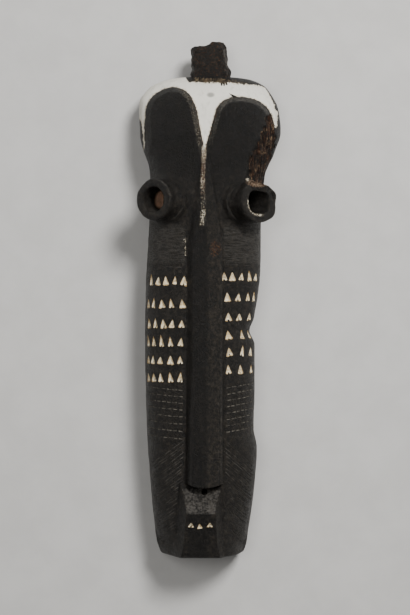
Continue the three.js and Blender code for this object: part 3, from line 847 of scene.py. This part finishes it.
def chip_tree():
    """Puts a blunt three-sided point on every place: sunk into the wood, its apex up the mask."""
    tree, given, made = tree_with("three_stroke_chips", {
        "Size": "NodeSocketVector", "Above": "NodeSocketFloat", "Unevenness": "NodeSocketFloat",
    })
    cone = add(tree, "GeometryNodeMeshCone", {
        "Vertices": CHIP_SIDES, "Side Segments": 2, "Radius Top": 0.0, "Radius Bottom": 2 / 3,
        "Depth": 1.0,
    })
    point_down = add(tree, "GeometryNodeTransform", {
        "Geometry": cone, "Rotation": (0, math.pi, -math.pi / 2),
    })
    spot = add(tree, "GeometryNodeInputPosition")
    parts = add(tree, "ShaderNodeSeparateXYZ", {"Vector": spot}).outputs
    reach = add(tree, "ShaderNodeMath", {0: parts["X"], 1: parts["Y"]}, operation="ARCTAN2")
    for operation, rest in [
        ("MULTIPLY", {1: 3.0}), ("COSINE", {}), ("MULTIPLY_ADD", {1: 0.5, 2: 0.5}),
        ("POWER", {1: CHIP_BLUNTNESS}), ("MULTIPLY_ADD", {1: 1 - CHIP_WAIST, 2: CHIP_WAIST}),
    ]:
        reach = add(tree, "ShaderNodeMath", {0: reach, **rest}, operation=operation)
    drawn_in = add(tree, "ShaderNodeCombineXYZ", {"X": reach, "Y": reach, "Z": 1.0})
    shaped = add(tree, "ShaderNodeVectorMath", {0: spot, 1: drawn_in}, operation="MULTIPLY")
    rounded = add(tree, "GeometryNodeSetPosition", {"Geometry": point_down, "Position": shaped})
    square = add(tree, "GeometryNodeTransform", {"Geometry": rounded, "Scale": (math.sqrt(3) / 2, 1, 1)})
    marked = add(tree, "GeometryNodeStoreNamedAttribute", {
        "Name": "in_chip", "Geometry": square, "Value": spot,
    }, data_type="FLOAT_VECTOR", domain="CORNER")
    out = add(tree, "GeometryNodeInputNamedAttribute", {"Name": "out"}, data_type="FLOAT_VECTOR")
    facing = add(tree, "FunctionNodeAlignRotationToVector", {"Vector": out}, axis="Z")
    upright = add(tree, "FunctionNodeAlignRotationToVector", {
        "Vector": (0, 1, 0), "Rotation": facing,
    }, axis="Y", pivot_axis="Z")
    lean = add(tree, "FunctionNodeRandomValue", {
        0: [-most for most in MOST_LEAN], 1: MOST_LEAN, "Seed": given["Seed"],
    }, data_type="FLOAT_VECTOR")
    leaning = add(tree, "FunctionNodeRotateRotation", {
        "Rotation": upright, "Rotate By": add(tree, "FunctionNodeEulerToRotation", {0: lean}),
    }, rotation_space="LOCAL")
    least, most = around_one(tree, given["Unevenness"])
    vary = add(tree, "FunctionNodeRandomValue", {
        0: least, 1: most, "Seed": given["Seed"],
    }, data_type="FLOAT_VECTOR")
    size = add(tree, "ShaderNodeVectorMath", {0: given["Size"], 1: vary}, operation="MULTIPLY")
    raised = add(tree, "ShaderNodeVectorMath", {0: out, 3: given["Above"]}, operation="SCALE")
    lifted = add(tree, "GeometryNodeSetPosition", {"Geometry": given["Places"], "Offset": raised})
    chips = add(tree, "GeometryNodeInstanceOnPoints", {
        "Points": lifted, "Instance": marked, "Rotation": leaning, "Scale": size,
    })
    return finished_tree(tree, chips, given, made)


def cut_with(tree, marks, values, kind, finish):
    """Runs a tree on the marks and cuts the mask with what it makes."""
    values["Finish"] = finish
    nodes = marks.modifiers.new("cuts", "NODES")
    nodes.node_group = tree
    for item in tree.interface.items_tree:
        if item.in_out == "INPUT" and item.name in values:
            nodes[item.identifier] = values[item.name]
    evaluated(marks)
    keep_kind(marks.data, kind)
    join_or_cut(marks, "DIFFERENCE")


def chip(name, places, down, outs, size, unevenness, seed):
    """Cuts a chip at each place. The point is wider at its top, which stands above the surface."""
    width, height, depth = size
    share = (depth + ABOVE) / depth
    cut_with(chipping, marks_object(name, [on_skin(x, level - down) for x, level in places], outs), {
        "Size": [width * share * MM, height * share * MM, (depth + ABOVE) * MM],
        "Above": ABOVE * MM, "Unevenness": unevenness, "Seed": seed,
    }, CHIPPED, chip_clay)


chipping = chip_tree()
cheek_places = [(x, level) for level, places in CHIP_ROWS.items() for x in places]
cheek_outs = [face_out(x, level) for x, level in cheek_places]
chip("chips", cheek_places, CHIP_DOWN, cheek_outs, CHIP_SIZE, CHIP_UNEVENNESS, 4)

# Teeth: three small chips in the front of the mouth, cut and whitened like those on the
# cheeks.
TOOTH_PLACES = [(-18.5, 47.5), (-6.8, 45.5), (6.5, 47.5)]
TOOTH_SIZE = (8.0, 7.2, 2.4)
TOOTH_DOWN, TOOTH_UNEVENNESS = 1, 0.08
tooth_outs = [Vector((0, -FRONT_FALL, 1)).normalized()] * len(TOOTH_PLACES)
chip("teeth", TOOTH_PLACES, TOOTH_DOWN, tooth_outs, TOOTH_SIZE, TOOTH_UNEVENNESS, 9)

# Dashes and hatches: eight rows of short cuts under the chips, and slanting scratches down to
# the chin. They are drawn with a knife point, so their depth and width waver. The dashes are grey,
# partly from dust and partly as a painted highlight on their lit lips, and smoke has darkened the
# scratches almost to the colour of the wood.
DASH_ROWS = 8
DASH_PITCH = 8.45
DASH_TOP = {-1: 225.5, 1: 228.5}
DASH_ENDS = {-1: (-29.5, -77.5), 1: (28.5, 66.0)}
DASH_RISE = {-1: 3.6, 1: 6.0}
DASH_DROOP = {-1: 0.12, 1: 0.0}
DASH_LENGTH = 5.6
DASH_GAP = 1.9
DASH_WIDTH = 1.8
RULED_WIDTH = 1.2
HATCH_PITCH = 5.2
HATCH_TOP = 158.0
HATCH_BOTTOM = 30.0
HATCH_SLANT = {-1: 0.75, 1: 0.9}
HATCH_FROM_NOSE, HATCH_FROM_MOUTH = 27.5, 34
HATCH_WIDTH = 1.3
STROKE_STEP = 3.0
STROKE_SINK = 0.1
STROKE_WAVER = 0.25
TOOL_SIDES = 5
dust_and_highlight_cuts, tree, dust_and_highlight_of = finish_named("dust_and_painted_highlight_in_knife_cuts")
colour = coat(tree, "#4c4841", "#6b665c", patches(tree, 4.0, 0.4, 0.6))
colour = coat(tree, colour, "#24201c", patches(tree, 6.0, 0.44, 0.6, (1, 1, 1), 5.0), 0.85)
tree.links.new(colour, dust_and_highlight_of["Base Color"])
dust_and_highlight_of["Roughness"].default_value = 0.85
sooty_cuts, tree, sooty_of = finish_named("soot_in_knife_scratches")
colour = coat(tree, "#23201c", "#4d4943", patches(tree, 9.0, 0.42, 0.66))
tree.links.new(colour, sooty_of["Base Color"])
sooty_of["Roughness"].default_value = 0.7


def stroke(start, end, sag=0.0):
    """Places along a stroke from one (x, level) to another, close enough to follow the face."""
    (x0, y0), (x1, y1) = start, end
    count = max(math.ceil(math.hypot(x1 - x0, y1 - y0) / STROKE_STEP), 1)
    shares = [i / count for i in range(count + 1)]
    return [(x0 + (x1 - x0) * s, y0 + (y1 - y0) * s - 4 * sag * s * (1 - s)) for s in shares]


def dash_strokes(side):
    """Rows of dashes from beside the nose out to the side, each row a little curved."""
    hand = np.random.default_rng(31 + side)
    inner, outer = DASH_ENDS[side]
    reach = abs(outer - inner)
    strokes = []
    for row in range(DASH_ROWS):
        level = DASH_TOP[side] - row * DASH_PITCH - DASH_DROOP[side] * row ** 2
        away = hand.uniform(0, 1.5)
        while away < reach - 2:
            long = DASH_LENGTH * hand.uniform(0.8, 1.2)
            turned_away = float(face_out(inner + side * away, level).z)
            far = min(away + long * turned_away, reach)
            rise = [DASH_RISE[side] * place / reach for place in (away, far)]
            wobble = hand.uniform(-0.35, 0.35, 2)
            strokes.append(stroke(
                (inner + side * away, level + rise[0] + wobble[0]),
                (inner + side * far, level + rise[1] + wobble[1]),
            ))
            away = far + DASH_GAP * hand.uniform(0.7, 1.3) * turned_away
    return strokes


def hatch_strokes(side):
    """Slanting scratches that run down and out from beside the nose and mouth."""
    hand = np.random.default_rng(47 + side)
    edge = left_edge if side < 0 else right_edge
    strokes = []
    for level in np.arange(HATCH_TOP, HATCH_BOTTOM, -HATCH_PITCH):
        level += hand.uniform(-0.7, 0.7)
        start = HATCH_FROM_NOSE if level > NOSE_END + 4 else HATCH_FROM_MOUTH
        inner = NOSE_X + side * start + hand.uniform(0, 3) * side
        outer = float(edge(level - 20)) - side * hand.uniform(4, 9)
        down = abs(outer - inner) * HATCH_SLANT[side]
        if level - down > 6:
            strokes.append(stroke((inner, level), (outer, level - down), hand.uniform(-1, 1.5)))
    return strokes


ruled_lines = [stroke((-31, 390.5), (-52, 391.5)), stroke((27.5, 394.5), (61, 393))]


def scratch_tree():
    """Sinks a small round tool along every stroke."""
    tree, given, made = tree_with("knife_strokes", {
        "Width": "NodeSocketFloat", "Waver": "NodeSocketFloat",
    })
    strokes = add(tree, "GeometryNodeMeshToCurve", {"Mesh": given["Places"]})
    half = add(tree, "ShaderNodeMath", {0: given["Width"], 1: 0.5}, operation="MULTIPLY")
    point = add(tree, "GeometryNodeCurvePrimitiveCircle", {"Resolution": TOOL_SIDES, "Radius": half})
    least, most = around_one(tree, given["Waver"])
    scale = add(tree, "FunctionNodeRandomValue", {
        2: least, 3: most, "Seed": given["Seed"],
    }, data_type="FLOAT")
    tool = add(tree, "GeometryNodeCurveToMesh", {
        "Curve": strokes, "Profile Curve": point, "Scale": scale.outputs[1], "Fill Caps": True,
    })
    return finished_tree(tree, tool, given, made)


def scratch(name, strokes, width, seed, kind, finish):
    """Cuts strokes into the mask, with the tool's middle a little under the surface."""
    places, outs, edges = [], [], []
    for line in strokes:
        for i, (x, level) in enumerate(line):
            out = face_out(x, level)
            if i:
                edges.append((len(places) - 1, len(places)))
            places.append(on_skin(x, level) - out * STROKE_SINK * MM)
            outs.append(out)
    marks = marks_object(name, places, outs, edges)
    sizes = {"Width": width * MM, "Waver": STROKE_WAVER, "Seed": seed}
    cut_with(knife_strokes, marks, sizes, kind, finish)


knife_strokes = scratch_tree()
scratch("dashes", dash_strokes(-1) + dash_strokes(1), DASH_WIDTH, 5, DASHED, dust_and_highlight_cuts)
scratch("ruled_lines", ruled_lines, RULED_WIDTH, 8, HATCHED, sooty_cuts)
for side, name in ((-1, "left_hatches"), (1, "right_hatches")):
    strokes = hatch_strokes(side)
    for first, seed in ((0, 6), (1, 7)):
        scratch(name, strokes[first::2], HATCH_WIDTH, seed, HATCHED, sooty_cuts)

# Hole: a small one, bored through the wall right under the nose end. It opens out a little at
# the front, where the lip slopes.
HOLE_PLACE = (-0.5, 90.0)
HOLE_RADIUS = 3.4
HOLE_SIDES = 28
HOLE_PROFILE = [(80, -0.2), (100, 0.0), (105, 0.3), (112, 1.4)]
hole_angles = np.linspace(0, 2 * math.pi, HOLE_SIDES, endpoint=False)
hole_rings = [
    np.stack([
        HOLE_PLACE[0] + (HOLE_RADIUS + wider) * np.cos(hole_angles),
        HOLE_PLACE[1] + (HOLE_RADIUS + wider) * np.sin(hole_angles),
        np.full(HOLE_SIDES, depth),
    ], 1)
    for depth, wider in HOLE_PROFILE
]
join_or_cut(mesh_object("hole", *closed_body(hole_rings), WOOD), "DIFFERENCE")

# Kaolin: white clay on the dome, painted up to the lobes, down the V between them and round the
# head to a frayed brown edge. It is worn off in places. Where it lies, and how worn or eaten the
# wood is, is worked out for every point of the skin.
outer_left = through([(540, -84), (566, -84), (590, -87.5), (603, -97), (CROWN, -97)])
outer_right = through([
    (570, 96.2), (579, 97.5), (592, 98.8), (599, 99.5), (607, 96.5), (616, 93.5), (627, 88.5), (637, 83),
    (643, 71), (648, 58), (CROWN, 45),
])
crown_line = through([(-40, 655), (-28, 653), (-22, 644), (10, 641.5), (40, 642), (60, 640)])
lower_line = through([(-90, 549), (-70, 552), (-20, 540), (40, 540), (80, 566), (100, 573)])
strip_edge = through([(540, -79.5), (552, -81), (572, -82.6), (588, -82.2), (600, -77), (612, -60)])
PAINTED_DEPTH = 38.0
UNPAINTED = -20.0
PAINTED_FROM = 520.0
STRIP_TO = -62
CLAY_LOSS = 8
FRINGE_FROM, FRINGE_DEPTH = 596, 58
FRAY, FRAY_SIZE = 1.2, (5.0, 5.0, 5.0)
FRINGE_FRAY, FRINGE_SIZE = 2.6, (1.8, 5.0, 5.0)
mesh = mask.data
count = len(mesh.vertices)
places = np.zeros(count * 3)
mesh.vertices.foreach_get("co", places)
places = places.reshape(-1, 3) / MM + np.array([CENTRE_X, CENTRE_LEVEL, 0.0])
x, level, z = places.T


def surface_value(name, values):
    """Keeps a value for every point of the skin, for the material to read."""
    mesh.attributes.new(name, "FLOAT", "POINT").data.foreach_set("value", np.asarray(values, np.float32))


def spot(place, size):
    """1 at a place in the front view, 0 from its edge outwards."""
    away = np.hypot((x - place[0]) / size[0], (level - place[1]) / size[1])
    return 1 - smooth(away, 0.5, 1.0)


def along_line(start, end, width):
    """1 on a line in the front view, 0 from its edge outwards."""
    (x0, y0), (x1, y1) = start, end
    dx, dy = x1 - x0, y1 - y0
    share = np.clip(((x - x0) * dx + (level - y0) * dy) / (dx ** 2 + dy ** 2), 0, 1)
    return 1 - smooth(np.hypot(x - x0 - share * dx, level - y0 - share * dy), width * 0.3, width)


def band(low, high, value=None):
    """Rises from 0 to 1 over the low pair of levels, or values, and falls over the high pair."""
    value = level if value is None else value
    return smooth(value, *low) * (1 - smooth(value, *high))


def along_axis(value, middle, width):
    """1 at a value's middle, and a bell-shaped fall to both sides."""
    return np.exp(-((value - middle) / width) ** 2)


lobe_distance = raised_distance(x, level)
frayed = FRAY * rough(places, FRAY_SIZE, 41, 3)
frayed += FRINGE_FRAY * rough(places, FRINGE_SIZE, 42, 2) * smooth(level, 575, 600) * smooth(x, -30, 10)
painted = np.minimum.reduce([
    -lobe_distance - 0.4, (x - outer_left(level)) * 0.8, outer_right(level) - x + frayed,
    crown_line(x) - level + frayed, level - lower_line(x), z - PAINTED_DEPTH + frayed * 3,
])
painted = np.where(x < STRIP_TO, np.minimum(painted, strip_edge(level) - x), painted)
painted[level < PAINTED_FROM] = UNPAINTED
bare_lines = along_line((33.2, 625.6), (38.0, 622.0), 1.5)
bare_lines += along_line((38.0, 622.0), (44.1, 619.0), 1.2)
for place, end in [(22, 637.5), (25.3, 636.6), (29, 638.5)]:
    bare_lines += along_line((place, 643), (place + 0.7, end), 1.1)
surface_value("kaolin", painted - CLAY_LOSS * np.clip(bare_lines, 0, 1))
surface_value("smudge", spot((7.6, 623.5), (6.5, 4.5)))

past_paint = np.maximum(level - crown_line(x), x - outer_right(level))
rim = np.minimum.reduce([
    -lobe_distance - 2, past_paint + 3.0, 8 - 0.045 * np.maximum(x - 10, 0) - past_paint,
    level - FRINGE_FROM + frayed, (z - FRINGE_DEPTH) * 0.3 + frayed,
])
surface_value("frayed_rim", smooth(rim, 0, 2.5) * smooth(x, -24, -12))

# Crest: the ridge between the brows keeps a strip of old kaolin, rubbed through to brown in
# places, and the bevels of the lobes and other edges are worn. The grey on the lip, the lobes' top
# bevels, lines down the nose, the peg's right edge and the rims of the eyes is painted highlight.
crest_light = through([
    (440, 0), (447, 0.95), (464, 0.85), (470, 0.35), (492, 0.3), (500, 0.75), (508, 0.7), (514, 0.4),
    (530, 0.45), (540, 0.9), (552, 1.0),
])
crest_brown = through([(436, 0), (446, 0.5), (480, 0.35), (500, 0.8), (535, 0.9), (556, 0.7)])
crest_line = through([(440, -4.5), (470, -2.0), (500, -3.0), (530, -2.0), (552, -1.5)])
crest_near = 1 - smooth(np.abs(x - crest_line(level)), 1.5, 4.6)
crest_near *= band((444, 450), (550, 556)) * (z > 80)
inner_bevel = band((0.5, 2.0), (5.5, 9.5), lobe_distance)
left_inner = inner_bevel * smooth(x, -42, -28) * (x < -2) * smooth(level, 540, 560)
right_inner = inner_bevel * (x > -2) * (x < 30) * smooth(level, 545, 560)
chalk_and_highlight = crest_near * crest_light(level) + 0.25 * left_inner + 0.1 * right_inner
chalk_and_highlight += 0.85 * along_line((-26.9, 428), (-26.2, 406), 1.3) + 1.5 * spot((57, 508), (3.0, 3.0))
chalk_and_highlight += 1.2 * along_line((1.4, 684), (2.0, 671), 1.5)

worn = crest_near * crest_brown(level) + 0.3 * left_inner + 0.36 * (level > 650) * (z < 110)
worn += 0.6 * right_inner * (1 - smooth(lobe_distance, 1.0, 3.5))
worn += 0.62 * spot((14.0, 415), (11.0, 15.0))
worn += 0.35 * (1 - smooth(lobe_distance, 0.5, 3.0)) * (lobe_distance > -1.5) * (level > 540)
surface_value("worn", np.clip(worn, 0, 1))

surface_value("eaten", eaten_amount(places)[0] * smooth(z, 45, 70))

# Painted highlight: the upper lip, which slopes up towards the light, in grey, a little more at its
# corners.
lip = band((LIP_LEVEL - 0.5, LIP_LEVEL + 1.5), (93, 97)) * (level < NOSE_END)
lip *= smooth(x - mouth_left(level), -0.5, 1.5) * (1 - smooth(x - mouth_right(level), -1.5, 0.5))
lip_corners = spot((-19, 70), (9, 10)) + spot((9, 69), (8, 9))
# Painted highlight on the top bevels of the lobes, which face the light: strong on the right, faint on
# the left.
top_bevel = band((0.3, 1.5), (6.0, 8.0), lobe_distance) * (level > 590)
right_top = top_bevel * band((12, 24), (84, 94), x)
left_top = top_bevel * (1 - smooth(x, -34, -26))
painted_highlight = lip * (0.56 + 0.1 * lip_corners) + 0.6 * right_top + 0.3 * left_top
# Painted highlight: two light lines down the right facet of the nose.
painted_highlight += 0.5 * along_line((22.4, 430), (21.6, 110), 1.4)
painted_highlight += 0.45 * along_line((18.3, 225), (18.0, 105), 1.1)
# Painted highlight on two lit facets at the right edge of the peg.
painted_highlight += 0.7 * along_line((26, 687), (31, 664), 3.0) + 0.5 * along_line((27, 659), (34, 650), 3.0)
rim_highlight = np.zeros(count)
lit_bare_wood = np.zeros(count)
for eye in EYES:
    away, height, angle = eye_places(places, eye)
    outer_edge = along_axis(away, 26.6, 1.3) * smooth(height, -6, -2.5)
    inner_edge = along_axis(away, 17.6, 1.3) * smooth(height, -4, -1)
    inside = (away < BORE_RADIUS + 1.5) * smooth(-height, 4, 8)
    if eye == "left":
        # Painted highlight on the left eye's outer rim, strongest at its upper right, and on the lower
        # side of its bore's edge.
        rim_highlight += outer_edge * (0.25 + 0.75 * smooth(np.cos(angle - 0.75), 0.4, 0.95))
        rim_highlight += 0.7 * inner_edge * smooth(-np.sin(angle + 0.3), 0.2, 0.8)
        # Bare wood deep in the left bore, on its outer wall only, much lighter than the bare wood of the
        # hollow: partly real bare wood, partly a painted lit patch.
        deep = band((26, 31), (46, 54), -height)
        lit_bare_wood += inside * deep * smooth(-np.cos(angle + 0.25), 0.45, 0.85)
        # Painted light on the lower wall of the left bore, near its mouth.
        painted_highlight = painted_highlight + 0.5 * inside * (1 - deep) * smooth(-np.sin(angle), 0.4, 0.9)
    else:
        # Painted highlight on the right eye's outer rim, stronger at its top, and a white painted
        # highlight in a crescent on the lower left edge of its bore.
        rim_highlight += outer_edge * (0.3 + 0.5 * smooth(np.sin(angle), -0.2, 0.8))
        lit_crescent = inner_edge * smooth(np.cos(angle + 2.25), 0.35, 0.75)
        chalk_and_highlight = chalk_and_highlight + 1.4 * lit_crescent
        rim_highlight += 1.2 * lit_crescent
broken = spot((70, 503), (20, 8)) * smooth(z, 70, 100)
surface_value("chalk_and_highlight", np.clip(chalk_and_highlight, 0, 1.5))
surface_value("lit_bare_wood", np.clip(lit_bare_wood, 0, 1))
surface_value("painted_highlight", np.clip(painted_highlight + 0.6 * rim_highlight, 0, 1.2))
surface_value("broken", np.clip(broken, 0, 1))
surface_value("tooled", band((392, 400), (440, 452)) * smooth(np.abs(x - NOSE_X), 24, 28))
# Pale pores: more low on the face and on the peg. Over the nose the left side is painted darker, as
# painted shade, and the right facet lighter, as a painted highlight.
rubbed = 0.2 + 0.5 * (1 - smooth(level, 470, 530)) + 0.3 * smooth(level, 655, 665)
rubbed -= 0.4 * smooth(x, NOSE_X - 24, NOSE_X - 18) * (1 - smooth(x, 0, 6)) * (level < 470)
rubbed += 0.25 * band((1, 7), (20, 25), x) * (level < 450) * (level > NOSE_END)
surface_value("rubbed", rubbed)

# Skin: smoke-blackened hardwood. Soot and oil, rubbed in over years of use, leave it nearly
# black and unevenly dull: granular from the adze and the wood's pores, with brown where hands
# and knocks have worn it through.
SOOT_DARK, SOOT, SOOT_LIGHT = "#0a0908", "#12100e", "#3d372f"
WORN_DARK, WORN_BROWN, WORN_TAN = "#241812", "#4d3327", "#846446"
HIGHLIGHT_GREY, TOOLED_GREY = "#66625c", "#4a4742"
KAOLIN_WHITE, KAOLIN_GREY, KAOLIN_YELLOW = "#ece8dc", "#bdb9aa", "#cbb892"
FRINGE_DARK, FRINGE_BROWN = "#17100b", "#4c3a2a"
EATEN_DARK, EATEN_BROWN, EATEN_TAN = "#0e0a07", "#3a2418", "#a68a6a"
LIT_BARE_ORANGE, SPLINTER_PALE, SMUDGE_GREY = "#e6b797", "#b7a184", "#84837c"
ROUGH_OILED, ROUGH_SOOTY, ROUGH_DRY = [(value,) * 3 + (1,) for value in (0.36, 0.5, 0.88)]
SHARP_EDGE = math.radians(38)
wood_finish, wood, skin_of = finish_named("smoke_blackened_hardwood")
stored = {
    name: add(wood, "ShaderNodeAttribute", attribute_name=name).outputs["Fac"]
    for name in (
        "kaolin", "smudge", "frayed_rim", "chalk_and_highlight", "worn", "eaten", "lit_bare_wood", "painted_highlight", "broken", "tooled",
        "rubbed",
    )
}
mottle = patches(wood, 16, 0.36, 0.62)
pores = patches(wood, 2.2, 0.40, 0.72, (1, 1.3, 1), sharp=0.7)
scuffs = patches(wood, 5.0, 0.42, 0.70, (1, 1.2, 1), 5.0, 0.7)
grit = patches(wood, 1.0, 0.42, 0.62)
grain = patches(wood, 1.2, 0.35, 0.65, (1, 22, 1))
fibres = patches(wood, 2.0, 0.40, 0.64, (1, 9, 3), sharp=0.65)
pits = patches(wood, 6.0, 0.42, 0.58, (1, 1.8, 1))
brushed = patches(wood, 7.0, 0.45, 0.78, (1, 2.2, 1))

colour = coat(wood, SOOT_DARK, SOOT, mottle)
# Pale pores and scuffs where the wood is rubbed; on the nose they also carry painted shade on its left
# side and a painted highlight on its right facet.
colour = coat(wood, colour, SOOT_LIGHT, pores, grit, stored["rubbed"], 1.1)
colour = coat(wood, colour, SOOT_LIGHT, scuffs, stored["rubbed"], 0.8)
tool_marks = patches(wood, 1.7, 0.35, 0.65, (8, 1, 3))
colour = coat(wood, colour, TOOLED_GREY, tool_marks, stored["tooled"], 0.6)

worn_here = frayed_edge(wood, stored["worn"], 2.2, 0.8, 0.42, 0.8)
brown = coat(wood, WORN_DARK, WORN_BROWN, scuffs)
brown = coat(wood, brown, WORN_TAN, pores, grit)
colour = coat(wood, colour, brown, worn_here)

# Grey painted highlights: the lip, the lobes' top bevels, lines on the nose and peg, the left bore and
# the eye rims.
highlight_here = frayed_edge(wood, stored["painted_highlight"], 3.0, 0.45, 0.3, 1.05)
colour = coat(wood, colour, HIGHLIGHT_GREY, highlight_here, 0.85)

eaten_here = frayed_edge(wood, stored["eaten"], 5.0, 0.9, 0.5, 0.8)
gnawed = coat(wood, EATEN_DARK, EATEN_BROWN, fibres)
gnawed = coat(wood, gnawed, EATEN_TAN, fibres, pits, scuffs)
colour = coat(wood, colour, gnawed, eaten_here)

broken_here = frayed_edge(wood, stored["broken"], 1.4, 0.9, 0.5, 0.8)
colour = coat(wood, colour, coat(wood, WORN_BROWN, SPLINTER_PALE, grit, 0.8), broken_here, 0.8)
# The bare wood in the left bore, lightened as a painted lit patch.
colour = coat(wood, colour, coat(wood, LIT_BARE_ORANGE, WORN_BROWN, scuffs, 0.5), stored["lit_bare_wood"])

fringe = coat(wood, FRINGE_DARK, FRINGE_BROWN, fibres)
fringe = coat(wood, fringe, KAOLIN_YELLOW, pores, 0.3)
colour = coat(wood, colour, fringe, frayed_edge(wood, stored["frayed_rim"], 2.0, 0.9, 0.5, 0.8))

# Flecks of kaolin, and the white painted highlight on the edge of the right bore.
flecks = frayed_edge(wood, stored["chalk_and_highlight"], 1.5, 3.2, 1.0, 1.35)
colour = coat(wood, colour, coat(wood, KAOLIN_YELLOW, KAOLIN_WHITE, grit), flecks, stored["chalk_and_highlight"], 1.6)

clay_here = frayed_edge(wood, stored["kaolin"], 3.0, 1.6, -0.35, 0.45)
clay_middle = frayed_edge(wood, stored["kaolin"], 3.0, 3.0, 0.0, 2.4)
clay = coat(wood, KAOLIN_YELLOW, KAOLIN_WHITE, 0.5)
clay = coat(wood, clay, KAOLIN_WHITE, clay_middle)
clay = coat(wood, clay, KAOLIN_GREY, brushed, 0.55)
clay = coat(wood, clay, SMUDGE_GREY, stored["smudge"], 0.8)
colour = coat(wood, colour, clay, clay_here)
wood.links.new(colour, skin_of["Base Color"])

dullness = coat(wood, ROUGH_OILED, ROUGH_SOOTY, mottle)
dullness = coat(wood, dullness, ROUGH_DRY, pores, 0.5)
for dry in (worn_here, highlight_here, eaten_here, broken_here, clay_here):
    dullness = coat(wood, dullness, ROUGH_DRY, dry)
wood.links.new(dullness, skin_of["Roughness"])
skin_of["Specular IOR Level"].default_value = 0.28

bare_of_clay = add(wood, "ShaderNodeMath", {0: 1.0, 1: clay_here}, operation="SUBTRACT")
relief = 0.0
for pattern, where, height in [
    (pores, bare_of_clay, 0.6), (grit, bare_of_clay, 0.3), (grain, bare_of_clay, 0.2),
    (scuffs, bare_of_clay, 0.55), (fibres, eaten_here, 1.5),
    (tool_marks, stored["tooled"], 0.6), (brushed, clay_here, 0.3),
]:
    part = add(wood, "ShaderNodeMath", {0: pattern, 1: where}, operation="MULTIPLY")
    relief = add(wood, "ShaderNodeMath", {0: part, 1: height, 2: relief}, operation="MULTIPLY_ADD")
bump = add(wood, "ShaderNodeBump", {"Strength": 0.9, "Distance": 1.0 * MM, "Height": relief})
wood.links.new(bump.outputs[0], skin_of["Normal"])

mesh.materials.clear()
for finish in (wood_finish, bare_wood, chip_clay, dust_and_highlight_cuts, sooty_cuts):
    mesh.materials.append(finish)
kinds = np.zeros(len(mesh.polygons), np.int32)
mesh.attributes["kind"].data.foreach_get("value", kinds)
mesh.polygons.foreach_set("material_index", kinds)
mesh.polygons.foreach_set("use_smooth", [True] * len(mesh.polygons))
mesh.set_sharp_from_angle(angle=SHARP_EDGE)
mesh.update()

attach(mask, "root")
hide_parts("mask")

# Floor and light: a plain pale floor, and soft light that comes mostly from the upper right,
# as it does in the photograph.
FLOOR_HALF = 4
ROOM_LIGHT = 0.15
floor_mesh = bpy.data.meshes.new("floor")
corners = [(FLOOR_HALF * i, FLOOR_HALF * j, 0) for i, j in ((-1, -1), (1, -1), (1, 1), (-1, 1))]
floor_mesh.from_pydata(corners, [], [(0, 1, 2, 3)])
plain_paint, tree, paint_of = finish_named("matt_pale_paint")
tree.links.new(coat(tree, "#cfcdc9", "#d6d4d0", patches(tree, 60, 0.3, 0.7)), paint_of["Base Color"])
paint_of["Roughness"].default_value = 0.8
paint_of["Specular IOR Level"].default_value = 0.2
floor_mesh.materials.append(plain_paint)
floor = object_of("floor", floor_mesh)


def softbox(name, place, size, power):
    """A square lamp at a place in metres, turned to the mask."""
    data = bpy.data.lights.new(name, "AREA")
    data.shape = "SQUARE"
    data.size = size
    data.energy = power
    lamp = object_of(name, data)
    lamp.location = place
    lamp.rotation_euler = Vector(place).to_track_quat("Z", "Y").to_euler()


softbox("key", (0.85, 1.2, 2.3), 0.7, 80)
softbox("fill", (-0.5, 0.2, 2.6), 0.8, 16)
world = bpy.data.worlds.new("room")
world.use_nodes = True
world.node_tree.nodes["Background"].inputs["Color"].default_value = (1, 1, 1, 1)
world.node_tree.nodes["Background"].inputs["Strength"].default_value = ROOM_LIGHT
bpy.context.scene.world = world
